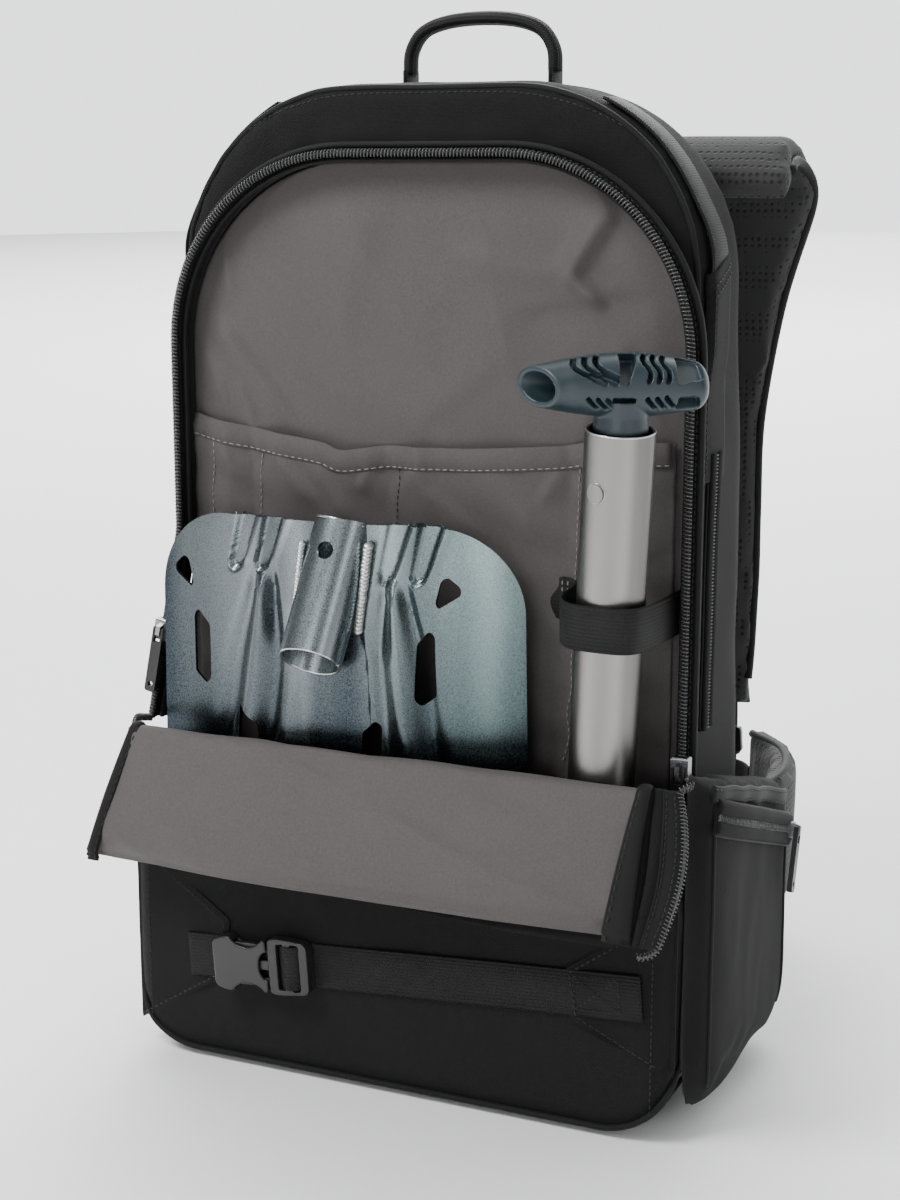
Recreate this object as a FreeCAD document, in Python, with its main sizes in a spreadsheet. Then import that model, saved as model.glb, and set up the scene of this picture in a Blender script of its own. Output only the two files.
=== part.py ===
"""Avalanche airbag backpack with its snow-tool pocket open, and a shovel packed in it.

The pack stands on its base at z = 0. +Z is up, -Y is the side that faces away from the wearer (where the
tool pocket opens) and +X is the side pocket's side. All sizes are in millimetres and live in the Sizes sheet.
"""

import FreeCAD, Part
import math
import os
import re

import Sketcher

Vector = FreeCAD.Vector

SIZES = {
    # pack body
    "half_width": 147, "pack_top": 528, "base_thick": 3,
    "front_wall": 45, "back_low": 80, "back_high": 42,
    "top_round": 100, "low_round": 30, "back_round": 30, "front_round": 8,
    "base_half": 128, "base_front": 84, "base_back": 62,
    # tool pocket and its lining
    "tool_half": 158, "tool_front": 97, "tool_mouth": 174, "tool_wall": 2.5,
    "lining_half": 141, "lining_top": 482, "lining_thick": 1.4,
    "sleeve_half": 138, "sleeve_top": 347, "sleeve_low": 20, "sleeve_thick": 1.2,
    # rim, zipper tape and coil round the opening
    "rim_half": 152, "rim_inner": 144, "rim_top": 496, "rim_deep": 12, "rim_low": 181,
    "tape_half": 148.6, "tape_thick": 1.2, "tape_deep": 4,
    "coil_half": 149.6, "coil_size": 3.6, "rim_round": 104, "slump": 6, "flare": 16, "knee": 290,
    # webbing
    "web": 25, "web_thick": 1.6, "loop_low": 257, "loop_high": 280,
    "strap_left": -46, "strap_long": 190, "strap_z": 66,
    # flap that folds down from the pocket's mouth
    "flap_top": 189, "flap_left": 163, "flap_right": 141, "flap_high": 74, "flap_thick": 4,
    "flap_y": 101, "gusset_deep": 8,
    # side pockets
    "side_in": 147.4, "side_out": 171, "side_front": 90, "side_back": 62, "side_low": 9,
    "side_top_front": 196, "side_top_back": 152, "side_round": 9,
    # shovel
    "blade_half": 109, "blade_x": -40, "blade_low": 30, "blade_top": 306, "blade_sag": 20,
    "blade_thick": 2, "blade_apex": 89.5, "blade_round": 45, "window_x": -51,
    "shaft_r": 17, "shaft_wall": 1.5, "shaft_long": 276, "inner_r": 14.6,
    "socket_clear": 0.3,
    "grip_long": 82, "grip_r": 15, "button_r": 4.6, "button_out": 0.8, "socket_out": 16.5,
    # carrying harness
    "pad_thick": 13, "panel_half": 118, "panel_low": 62, "panel_high": 412,
    "wing_thick": 12, "wing_low": 44, "wing_high": 128,
    # airbag system inside
    "bottle_r": 30, "bottle_long": 176,
    "head_w": 42, "head_d": 36, "head_h": 46, "pin_r": 3, "pin_clear": 0.06,
    "bag_half": 92, "bag_low": 408, "bag_high": 484,
}

doc = FreeCAD.newDocument("AirbagPack")
sheet = doc.addObject("Spreadsheet::Sheet", "Sizes")
for row, (alias, size) in enumerate(SIZES.items(), start=1):
    sheet.set(f"A{row}", alias)
    sheet.set(f"B{row}", str(size))
    sheet.setAlias(f"B{row}", alias)
doc.recompute()

nodes = {}


def formula(text):
    """A formula over the sheet's aliases, as FreeCAD's expressions write it."""
    return re.sub(r"[a-z_][a-z_0-9]*", lambda m: "Sizes." + m[0] if m[0] in SIZES else m[0], str(text))


def value(text):
    return float(sheet.evalExpression(formula(text)))


def bind(feature, prop, text):
    feature.setExpression(prop, formula(text))


def settle(feature):
    """Recomputes, and stops with the feature's name if it failed."""
    doc.recompute()
    bad = {"Invalid", "Error"} & set(feature.State)
    if bad or feature.Shape.isNull() or not feature.Shape.isValid():
        raise RuntimeError(f"{feature.Label} failed: {feature.State}")


def export(label, feature):
    """Names a finished sub-part, and lists it for export."""
    feature.Label = label
    nodes[label] = feature
    return feature


# ---------------------------------------------------------------- building blocks


def polygon(body, plane, start, corners):
    """A closed sketch on one of the body's own planes, each corner held by two bound distances."""
    origin = next(f for f in body.Origin.OriginFeatures if f.Role == plane + "_Plane")
    sketch = body.newObject("Sketcher::SketchObject", body.Name + "_outline")
    sketch.AttachmentSupport = [(origin, "")]
    sketch.MapMode = "FlatFace"
    bind(sketch, "AttachmentOffset.Base.z", start)
    points = [Vector(value(a), value(b), 0) for a, b in corners]
    count = len(points)
    for i, point in enumerate(points):
        sketch.addGeometry(Part.LineSegment(point, points[(i + 1) % count]), False)
    for i in range(count):
        sketch.addConstraint(Sketcher.Constraint("Coincident", i, 2, (i + 1) % count, 1))
    for i, (across, up) in enumerate(corners):
        for kind, text in (("DistanceX", across), ("DistanceY", up)):
            at = sketch.addConstraint(Sketcher.Constraint(kind, -1, 1, i, 1, value(text)))
            bind(sketch, f"Constraints[{at}]", text)
    return sketch


def slab(name, plane, start, length, corners, rounds=(), at=None, midplane=False):
    """A PartDesign body: one padded outline, rounded. On XZ it grows from y = -start towards -Y."""
    body = doc.addObject("PartDesign::Body", name)
    sketch = polygon(body, plane, start, corners)
    pad = body.newObject("PartDesign::Pad", name + "_pad")
    pad.Profile = sketch
    pad.Length = value(length)
    bind(pad, "Length", length)
    pad.Midplane = midplane
    settle(pad)
    feature = pad
    for number, (radius, chosen) in enumerate(rounds):
        picked = [f"Edge{i}" for i, e in enumerate(feature.Shape.Edges, start=1) if chosen(e)]
        fillet = body.newObject("PartDesign::Fillet", f"{name}_round{number}")
        fillet.Base = (feature, picked)
        fillet.Radius = value(radius)
        bind(fillet, "Radius", radius)
        settle(fillet)
        feature = fillet
    if at is not None:
        body.Placement = at
    settle(body)
    return body


def along(axis, where=lambda c: True):
    """Picks straight edges that run along an axis and whose middle passes a test."""

    def chosen(edge):
        if not isinstance(edge.Curve, Part.Line):
            return False
        run = edge.Curve.Direction
        return abs(abs(getattr(run, axis)) - 1) < 1e-3 and where(edge.CenterOfMass)

    return chosen


def lying(axis, place):
    """Picks every edge that lies in the plane where one coordinate has a given value."""

    def chosen(edge):
        return all(abs(getattr(v.Point, axis) - place) < 1e-3 for v in edge.Vertexes) and abs(
            getattr(edge.CenterOfMass, axis) - place
        ) < 1e-3

    return chosen


def rectangle(half, low, high):
    return [(f"-({half})", low), (half, low), (half, high), (f"-({half})", high)]


def cylinder(name, radius, height, at=None):
    made = doc.addObject("Part::Cylinder", name)
    bind(made, "Radius", radius)
    bind(made, "Height", height)
    if at is not None:
        made.Placement = at
    settle(made)
    return made


def cut(name, base, *tools):
    """The base with each tool taken away; every tool has to remove something."""
    for number, tool in enumerate(tools):
        before = base.Shape.Volume
        made = doc.addObject("Part::Cut", f"{name}_cut{number}")
        made.Base = base
        made.Tool = tool
        settle(made)
        if made.Shape.Volume > before - 0.01:
            raise RuntimeError(f"{name}: {tool.Label} cut nothing")
        base = made
    return base


def fuse(name, *parts):
    made = doc.addObject("Part::MultiFuse", name + "_fuse")
    made.Shapes = list(parts)
    settle(made)
    return made


def common(name, a, b):
    made = doc.addObject("Part::MultiCommon", name + "_common")
    made.Shapes = [a, b]
    settle(made)
    return made


def group(name, *parts):
    made = doc.addObject("Part::Compound", name + "_group")
    made.Links = list(parts)
    settle(made)
    return made


def mirrored(name, source):
    made = doc.addObject("Part::Mirroring", name + "_mirror")
    made.Source = source
    made.Normal = Vector(1, 0, 0)
    settle(made)
    return made


def plain(name, shape, at=None):
    made = doc.addObject("Part::Feature", name + "_shape")
    made.Shape = shape
    if at is not None:
        made.Placement = at
    settle(made)
    return made


def place(x=0, y=0, z=0, axis=(0, 0, 1), degrees=0):
    return FreeCAD.Placement(Vector(x, y, z), FreeCAD.Rotation(Vector(*axis), degrees))


def tangent_wire(points, radius=None):
    """Straight runs joined by arcs. Without a radius, each arc takes up to 0.45 of its shorter run."""
    points = [Vector(*p) for p in points]
    edges = []
    start = points[0]
    for before, corner, after in zip(points, points[1:], points[2:]):
        into = (corner - before).normalize()
        out = (after - corner).normalize()
        half_turn = into.getAngle(out) / 2
        shorter = min((corner - before).Length, (after - corner).Length)
        reach = 0.45 * shorter
        if radius is not None:
            reach = min(reach, radius * math.tan(half_turn))
        arc_radius = reach / math.tan(half_turn)
        a = corner - into * reach
        b = corner + out * reach
        middle = (out - into).normalize()
        centre_gap = arc_radius / math.cos(half_turn)
        top = corner + middle * (centre_gap - arc_radius)
        edges.append(Part.LineSegment(start, a).toShape())
        edges.append(Part.Arc(a, top, b).toShape())
        start = b
    edges.append(Part.LineSegment(start, points[-1]).toShape())
    return Part.Wire(edges)


def ribbon(name, points, radius, thick, grow, at=None):
    """A flat band: a planar line of runs and arcs, thickened to one side of it and extruded along grow."""
    wire = tangent_wire(points, radius)
    face = wire.makeOffset2D(thick, join=0, fill=True, openResult=True, intersection=False)
    return plain(name, face.extrude(Vector(*grow)), at)


def tube(name, points, radius):
    """A round cord along runs and arcs, its volume compared with its section times its length."""
    wire = tangent_wire(points)
    first = wire.Edges[0]
    ring = Part.Wire([Part.Circle(first.valueAt(0), first.tangentAt(0), radius).toShape()])
    solid = Part.Wire(wire).makePipeShell([ring], True, False)
    expected = math.pi * radius**2 * wire.Length
    if abs(solid.Volume - expected) > 0.02 * expected:
        raise RuntimeError(f"{name}: pipe volume {solid.Volume:.0f}, expected {expected:.0f}")
    return plain(name, solid)


def arch_ring(name, start, length, half, top, wide):
    """A band round the pocket's opening: an arched top and two legs, the left one slumped."""

    def outline(inset, low):
        right, left, high = f"{half} - ({inset})", f"-({half} - slump - ({inset}))", f"{top} - ({inset})"
        return [(f"-({half} + flare - ({inset}))", low), (right, low), (right, high), (left, high),
                (left, "knee")]

    def rounds(inset):
        return [(f"rim_round - ({inset})", along("y", lambda c: c.z > value(top) - value(wide) - 1)),
                ("120", along("y", lambda c: abs(c.z - value("knee")) < 1))]

    outside = slab(name + "Outside", "XZ", start, length, outline("0", "rim_low"), rounds("0"))
    inside = slab(name + "Inside", "XZ", f"{start} - 1", f"{length} + 2", outline(wide, "rim_low - 2"),
                  rounds(wide))
    return cut(name, outside, inside)


# ---------------------------------------------------------------- pack body


def back_y(z):
    """Y of the pack's back face at a height: the pack is deeper at its base than at its top."""
    share = (z - value("base_thick")) / (value("pack_top") - value("base_thick"))
    return value("back_low") + (value("back_high") - value("back_low")) * share


BACK_LEAN = math.degrees(math.atan2(value("back_low - back_high"), value("pack_top - base_thick")))
BAG_PORT = Vector(-86, 0, 446)  # where the trigger cable leaves the pack


def body_block(name, inset):
    """The pack's rounded wedge, or with an inset the space inside it."""
    profile = [(f"-front_wall + {inset}", f"base_thick + {inset}"),
               (f"back_low - {inset}", f"base_thick + {inset}"),
               (f"back_high - {inset}", f"pack_top - {inset}"),
               (f"-front_wall + {inset}", f"pack_top - {inset}")]
    high = value("pack_top") / 2
    top_edges = along("y", lambda c: c.z > high)
    low_edges = along("y", lambda c: c.z < high)
    return slab(name, "YZ", "0", f"2 * (half_width - {inset})", profile,
                [(f"top_round - {inset}", top_edges), (f"low_round - {inset}", low_edges),
                 (f"back_round - {inset}", back_loop),
                 (f"front_round - {inset}", lying("y", -value("front_wall") + inset))],
                midplane=True)


def back_loop(edge):
    """The outline of the leaning back face."""
    return all(v.Point.y > back_y(v.Point.z) - 4.5 for v in edge.Vertexes) and edge.CenterOfMass.y > 30


def pack_body():
    rim = [("base_half", "-base_front"), ("base_half", "base_back"), ("-base_half", "base_back"),
           ("-base_half", "-base_front")]
    export("base_panel", slab("BasePanel", "XY", "0", "base_thick", rim, [("22", along("z"))]))
    shell = body_block("ShellOuter", 0)
    space = body_block("ShellInner", 3)
    port = cylinder("CablePort", "5", "30", place(BAG_PORT.x, back_y(BAG_PORT.z) + 12, BAG_PORT.z, (1, 0, 0),
                                                  90))
    export("main_shell", cut("MainShell", shell, space, port))

    outer = slab("ToolOuter", "XZ", "front_wall", "tool_front - front_wall",
                 rectangle("tool_half", "base_thick", "tool_mouth + 20"),
                 [("40", along("y", lambda c: c.z < 10)), ("14", lying("y", -value("tool_front")))])
    inner = slab("ToolInner", "XZ", "front_wall - 5", "tool_front - front_wall + 5 - tool_wall",
                 rectangle("tool_half - tool_wall", "base_thick + tool_wall", "tool_mouth + 30"),
                 [("37.5", along("y", lambda c: c.z < 10)),
                  ("11.5", lying("y", -value("tool_front - tool_wall")))])
    trim = slab("ToolTrim", "XY", "tool_mouth", "40",
                [("-170", "-45"), ("170", "-45"), ("170", "-110"), ("-170", "-110")])
    export("tool_pocket", cut("ToolPocket", outer, inner, trim))


def lining():
    """The pocket's inner wall and the sleeve sewn to it. Both stop short of the rim's slumped left leg."""

    def wall(half, low, high):
        return [(f"slump - {half}", low), (half, low), (half, high), (f"slump - {half}", high)]

    top = along("y", lambda c: c.z > 300)
    export("pocket_lining", slab("Lining", "XZ", "front_wall", "lining_thick",
                                 wall("lining_half", "18", "lining_top"), [("97", top)]))
    export("probe_sleeve", slab("Sleeve", "XZ", "front_wall + lining_thick + 0.2", "sleeve_thick",
                                wall("sleeve_half", "sleeve_low", "sleeve_top")))


def opening():
    export("opening_rim", arch_ring("Rim", "front_wall", "rim_deep", "rim_half", "rim_top",
                                    "rim_half - rim_inner"))
    export("pocket_zipper_tape", arch_ring("Tape", "front_wall + rim_deep + 0.1", "tape_deep", "tape_half",
                                           "rim_top - rim_half + tape_half", "tape_thick"))
    export("pocket_zipper_coil", arch_ring("Coil", "front_wall + rim_deep + tape_deep + 0.2", "coil_size",
                                           "coil_half", "rim_top - rim_half + coil_half", "coil_size"))


def side_pockets():
    """A deep pocket on the right side that laps over the tool pocket, and a shorter one on the left."""
    for side, label, front, front_top in ((1, "right", "side_front", "side_top_front"),
                                          (-1, "left", "42", "side_top_back + 30")):
        profile = [(f"-({front})", "side_low"), ("side_back", "side_low"), ("side_back", "side_top_back"),
                   (f"-({front})", front_top)]
        name = "SidePocket" + label.title()
        pocket = slab(name, "YZ", "side_in", "side_out - side_in", profile,
                      [("30", along("x", lambda c: c.z < 20)), ("side_round", lying("x", value("side_out")))])
        if side > 0:
            lap = slab(name + "Lap", "XY", "0", "240", [("140", "-100"), ("tool_half + 0.4", "-100"),
                                                        ("tool_half + 0.4", "-front_wall + 0.4"),
                                                        ("140", "-front_wall + 0.4")])
            pocket = cut(name, pocket, lap)
        else:
            pocket = mirrored(name, pocket)
        export("side_pocket_" + label, pocket)


def webbing():
    # over the shovel shaft, sewn to the lining at both ends
    path = [(-30, -48.2), (82, -48.2), (95.5, -96), (103, -105.3), (131, -105.3), (137, -97), (140.5, -48.2)]
    loop = ribbon("ShaftStrap", [(x, y, 0) for x, y in path], 8, value("web_thick"),
                  (0, 0, value("loop_high - loop_low")),
                  place(z=value("loop_low")))
    export("shaft_strap", loop)
    # ski loops over the pack's top corners
    corner = value("top_round") + 3.6
    centre_x, centre_z = value("half_width - top_round"), value("pack_top - top_round")
    sweep = [math.radians(a) for a in (62, 42, 21)]
    path = [(centre_x + corner * math.cos(a) / math.cos(math.radians(10)),
             centre_z + corner * math.sin(a) / math.cos(math.radians(10)), 0)
            for a in sweep] + [(centre_x + corner + 5, centre_z - 6, 0),
                               (centre_x + corner - 1.5, centre_z - 46, 0)]
    loop = ribbon("SkiLoop", path, None, value("web_thick"), (0, 0, value("web")),
                  place(y=-11, axis=(1, 0, 0), degrees=90))
    export("ski_loops", group("SkiLoops", loop, mirrored("SkiLoopLeft", loop)))


# ---------------------------------------------------------------- board strap and buckle

STRAP_TURN = place(value("strap_left"), -value("tool_front"), value("strap_z"), (0, 1, 0), -4)


def board_strap():
    """The strap across the lower front, in a frame at the buckle's right end with x along the strap."""
    wing = [("-tool_half + 12", "18"), ("-100", "48"), ("-94", "84"), ("-tool_half + 12", "122")]
    left = slab("WingLeft", "XZ", "tool_front + 0.2", "1.2", wing)
    wing = [("tool_half - 12", "40"), ("tool_half - 12", "126"), ("100", "88"), ("104", "62")]
    right = slab("WingRight", "XZ", "tool_front + 0.2", "1.2", wing)
    export("strap_wings", group("StrapWings", left, right))
    strap = slab("BoardStrap", "XZ", "1.6", "web_thick", [("-18", "-web / 2"), ("strap_long", "-web / 2"),
                                                          ("strap_long", "web / 2"), ("-18", "web / 2")],
                 at=STRAP_TURN)
    export("board_strap", strap)
    # buckle socket, fixed by the left wing: a flat case with a mouth at its right end
    case = slab("SocketCase", "XZ", "3.6", "8.4", [("-54", "-15.5"), ("-21", "-15.5"), ("-21", "15.5"),
                                                   ("-54", "15.5")],
                [("2.5", along("y", lambda c: c.x < -50)), ("1.6", lying("y", -12))])
    mouth = slab("SocketMouth", "XZ", "5.4", "4.8",
                 [("-50", "-12.6"), ("-20", "-12.6"), ("-20", "12.6"), ("-50", "12.6")])
    windows = slab("SocketWindows", "XZ", "5.4", "4.8",
                   [("-44", "-20"), ("-33", "-20"), ("-33", "20"), ("-44", "20")])
    socket = cut("BuckleSocket", case, mouth, windows)
    socket.Placement = STRAP_TURN
    settle(socket)
    export("buckle_socket", socket)
    # plug: two springy arms, a guide tongue and a ladder frame that grips the webbing
    frame = slab("PlugFrame", "XZ", "3.6", "8.4", [("-20.6", "-16"), ("3", "-16"), ("3", "16"),
                                                   ("-20.6", "16")],
                 [("4", along("y", lambda c: c.x > 0)), ("1.6", lying("y", -12))])
    slot_a = slab("PlugSlotA", "XZ", "0", "20", [("-15", "-13"), ("-10.5", "-13"), ("-10.5", "13"),
                                                 ("-15", "13")])
    slot_b = slab("PlugSlotB", "XZ", "0", "20", [("-6.5", "-13"), ("-1.5", "-13"), ("-1.5", "13"),
                                                 ("-6.5", "13")])
    frame = cut("PlugLadder", frame, slot_a, slot_b)
    arms = [slab(f"PlugArm{n}", "XZ", "5.8", "4", corners) for n, corners in enumerate((
        [("-42", "9"), ("-20", "7"), ("-20", "11"), ("-34", "12"), ("-42", "12")],
        [("-42", "-9"), ("-42", "-12"), ("-34", "-12"), ("-20", "-11"), ("-20", "-7")],
        [("-47", "-2.5"), ("-20", "-3"), ("-20", "3"), ("-47", "2.5")]))]
    plug = fuse("BucklePlug", frame, *arms)
    plug.Placement = STRAP_TURN
    settle(plug)
    export("buckle_plug", plug)


# ---------------------------------------------------------------- flap

FLAP_LEAN = 22  # degrees that the folded flap stands out from the pack at its lower edge
FLAP_AT = place(0, -value("flap_y"), value("flap_top"), (1, 0, 0), -FLAP_LEAN)


def flap():
    """The folded flap in its own frame: x across, z down from the fold at 0, y towards the pack."""
    face = [("-flap_left", "-flap_high"), ("flap_right", "-flap_high"), ("flap_right", "-1"),
            ("-flap_left + 14", "-1")]
    export("flap_lining", slab("FlapLining", "XZ", "0", "flap_thick", face, [("1.8", along("x"))],
                               at=FLAP_AT))
    back = [("-flap_left + 12", "-flap_high + 4"), ("flap_right - 8", "-flap_high + 4"),
            ("flap_right - 8", "-6"), ("-flap_left + 18", "-6")]
    export("flap_shell", slab("FlapShell", "XZ", "-5.2", "5", back, [("2", along("x"))], at=FLAP_AT))
    sides = []
    coils = []
    for name, side, edge, spread in (("Right", 1, "flap_right", 24), ("Left", -1, "flap_left", 5)):
        wall = [(f"{side} * ({edge} + 0.3)", "-3.8"), (f"{side} * ({edge} + {spread})", "gusset_deep - 2"),
                (f"{side} * ({edge} + {spread - 1})", "gusset_deep"), (f"{side} * ({edge} + 0.3)", "-1.4")]
        sides.append(slab(f"Gusset{name}", "XY", "-flap_high + 2", "flap_high - 5", wall))
        coil = [(f"{side} * ({edge} + {spread} + 0.2)", "gusset_deep - 3.6"),
                (f"{side} * ({edge} + {spread} + 3.8)", "gusset_deep - 3.6"),
                (f"{side} * ({edge} + {spread} + 3.8)", "gusset_deep"),
                (f"{side} * ({edge} + {spread} + 0.2)", "gusset_deep")]
        coils.append(slab(f"FlapCoil{name}", "XY", "-flap_high + 3", "flap_high - 12", coil))
    both = group("FlapGussets", *sides)
    both.Placement = FLAP_AT
    settle(both)
    export("flap_gussets", both)
    both = group("FlapCoils", *coils)
    both.Placement = FLAP_AT
    settle(both)
    export("flap_zipper_coil", both)


# ---------------------------------------------------------------- zipper sliders and pullers


EYE_OUT = 5.9  # from a slider's middle to its puller's pin


def slider(name, at, turned=False):
    """A slider body with an open channel along z that clears the coil, and a loop for its puller in front.

    The loop's eye runs across the channel, or along it if turned.
    """
    block = slab(name + "Block", "XY", "-6", "12", [("-4.6", "-3.6"), ("4.6", "-3.6"), ("4.6", "2.8"),
                                                    ("-4.6", "2.8")],
                 [("1.4", lying("z", 6.0))])
    way = slab(name + "Way", "XY", "-8", "16", [("-2.2", "-2.1"), ("2.2", "-2.1"), ("2.2", "2.1"),
                                                ("-2.2", "2.1")])
    slot = slab(name + "Slot", "XY", "-8", "16", [("-1", "0"), ("1", "0"), ("1", "6"), ("-1", "6")])
    if turned:
        arch = [("-4", "-3.4"), ("-2.6", "-7.8"), ("2.6", "-7.8"), ("4", "-3.4")]
        bridge = slab(name + "Bridge", "XY", "0", "2.6", arch, midplane=True)
        eye = cylinder(name + "Eye", "1.1", "8", place(0, -EYE_OUT, -4))
    else:
        arch = [("-3.4", "-4"), ("-7.8", "-2.6"), ("-7.8", "2.6"), ("-3.4", "4")]
        bridge = slab(name + "Bridge", "YZ", "0", "2.6", arch, midplane=True)
        eye = cylinder(name + "Eye", "1.1", "8", place(-4, -EYE_OUT, 0, (0, 1, 0), 90))
    made = cut(name, fuse(name, cut(name + "Body", block, way, slot), bridge), eye)
    made.Placement = at
    settle(made)
    return made


def puller(name, at, long="30"):
    """A flat puller that hangs from a pin through the slider's eye, with a cord hole at its lower end."""
    pin = cylinder(name + "Pin", "0.9", "6.4", place(-3.2, 0, 0, (0, 1, 0), 90))
    cheeks = [slab(f"{name}Cheek{n}", "YZ", x, "1.2",
                   [("-1.4", "1.6"), ("-1.4", "-8"), ("1.4", "-8"), ("1.4", "1.6")])
              for n, x in enumerate(("-3.2", "2"))]
    tab = slab(name + "Tab", "XZ", "-1.4", "2.8", [("-3.2", f"-{long}"), ("3.2", f"-{long}"), ("3.2", "-7"),
                                                   ("-3.2", "-7")],
               [("1.6", along("y", lambda c: c.z < -20))])
    hole = cylinder(name + "Hole", "1.5", "8", place(0, 4, -value(long) + 4.5, (1, 0, 0), 90))
    made = cut(name, fuse(name, pin, *cheeks, tab), hole)
    made.Placement = at
    settle(made)
    return made


COIL_Y = -value("front_wall + rim_deep + tape_deep + 0.2 + coil_size / 2")
RIGHT_COIL = Vector(value("coil_half - coil_size / 2"), COIL_Y, 190)
LEFT_LEAN = math.degrees(math.atan2(value("slump + flare"), value("knee - rim_low")))
LEFT_UP = 234
LEFT_SHIFT = (LEFT_UP - value("rim_low")) * math.tan(math.radians(LEFT_LEAN))
LEFT_COIL = Vector(LEFT_SHIFT - value("coil_half + flare - coil_size / 2"), COIL_Y, LEFT_UP)
MAIN_Y, MAIN_LOW, MAIN_HIGH = -20, 200, 368
SIDE_SLOPE, SIDE_Z, SIDE_FRONT, SIDE_BACK, SIDE_SLIDER = -19, 144, 76, 58, 49
ZIP_COIL_OUT = 4.4


def zipper(name, low, high, at, half_tape):
    """A closed zipper on a side wall: tape, seam and coil, z along it and x out of the wall."""
    strips = []
    for part, out, thick, half in (("Coil", 2.6, 3.6, 1.8), ("Tape", 0, 1.2, half_tape),
                                   ("Rib", 1.1, 1.6, 0.6)):
        corners = [(str(-half), str(low)), (str(half), str(low)), (str(half), str(high)),
                   (str(-half), str(high))]
        strips.append(slab(name + part, "YZ", str(out), str(thick), corners))
    made = fuse(name, *strips)
    made.Placement = at
    settle(made)
    return made


def sliders():
    export("slider_right", slider("SliderRight", FreeCAD.Placement(RIGHT_COIL, FreeCAD.Rotation())))
    export("puller_right", puller("PullerRight", FreeCAD.Placement(RIGHT_COIL + Vector(0, -EYE_OUT, 0),
                                                                   FreeCAD.Rotation()), "24"))
    # the left slider sits on the flared leg, which leans outward as it goes down
    leaning = FreeCAD.Rotation(Vector(0, 1, 0), LEFT_LEAN)
    export("slider_left", slider("SliderLeft", FreeCAD.Placement(LEFT_COIL, leaning)))
    export("puller_left", puller("PullerLeft", FreeCAD.Placement(LEFT_COIL + Vector(0, -EYE_OUT, 0), leaning),
                                 "36"))
    # main compartment zippers, closed, along the pack's left and right sides
    right = zipper("MainZip", MAIN_LOW, MAIN_HIGH, place(value("half_width") + 0.1, MAIN_Y, 0, (1, 0, 0), 0),
                   11)
    # side pocket zipper, which slopes down towards the wearer's back, closed by its slider at that end
    slope = FreeCAD.Rotation(Vector(1, 0, 0), SIDE_SLOPE - 90)
    foot = Vector(value("side_out") + 0.1, 0, SIDE_Z)
    side = zipper("SideZip", -SIDE_FRONT, SIDE_BACK, FreeCAD.Placement(foot, slope), 9)
    export("side_zippers", group("SideZippers", right, mirrored("MainZipLeft", right), side))
    outward = FreeCAD.Rotation(Vector(0, 0, 1), 90)
    coil_at = foot + Vector(ZIP_COIL_OUT, 0, 0) + slope.multVec(Vector(0, 0, SIDE_SLIDER))
    export("side_slider", slider("SideSlider", FreeCAD.Placement(coil_at, slope.multiply(outward)),
                                 turned=True))
    eye_at = coil_at + Vector(EYE_OUT, 0, 0)
    hang = FreeCAD.Rotation(Vector(1, 0, 0), SIDE_SLOPE).multiply(outward)
    export("side_puller", puller("SidePuller", FreeCAD.Placement(eye_at, hang), "34"))


# ---------------------------------------------------------------- shovel


SOCKET_LOW, SOCKET_TOP = Vector(-39, -104, 239), Vector(-30, -80, 304)
WINDOWS = ((78, 272, 10, 15), (66, 232, 11, 40), (36, 184, 12, 36))  # across, up, wide, high of each pair


def blade():
    """A thin sheet on a cylinder, with three pairs of slanted windows and a slot for the shaft's socket."""
    curve = "((blade_half * blade_half + blade_sag * blade_sag) / (2 * blade_sag))"
    centre_y = value(f"{curve} - blade_apex")
    outer = cylinder("BladeOuter", curve, "blade_top - blade_low",
                     place(value("window_x"), centre_y, value("blade_low")))
    inner = cylinder("BladeInner", f"{curve} - blade_thick", "blade_top - blade_low + 2",
                     place(value("window_x"), centre_y, value("blade_low") - 1))
    outline = slab("BladeOutline", "XZ", "blade_apex - blade_sag - 12", "blade_sag + 16",
                   [("blade_x - blade_half", "blade_low"), ("blade_x + blade_half", "blade_low"),
                    ("blade_x + blade_half - 5", "blade_top"), ("blade_x - blade_half + 5", "blade_top")],
                   [("blade_round", along("y", lambda c: c.z > 200)), ("18", along("y", lambda c: c.z < 60))])
    sheet_metal = common("BladeSheet", cut("BladeArc", outer, inner), outline)
    tools = []
    for side, hand in ((-1, "Left"), (1, "Right")):
        for number, (across, up, wide, high) in enumerate(WINDOWS):
            inside = f"window_x + {side * (across - wide / 2)}"
            outside = f"window_x + {side * (across + wide / 2)}"
            corners = [(inside, str(up - high / 2 + 5)), (outside, str(up - high / 2)),
                       (outside, str(up + high / 2 - 6)), (inside, str(up + high / 2))]
            tools.append(slab(f"Window{hand}{number}", "XZ", "50", "50", corners, [("2.5", along("y"))]))
    run = (SOCKET_TOP - SOCKET_LOW).normalize()
    turn = FreeCAD.Rotation(Vector(0, 0, 1), run)
    clear = cylinder("SocketSlot", "socket_out + 0.1", "140", FreeCAD.Placement(SOCKET_LOW - run * 20, turn))
    export("shovel_blade", cut("ShovelBlade", sheet_metal, clear, *tools))
    return run, turn


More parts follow.
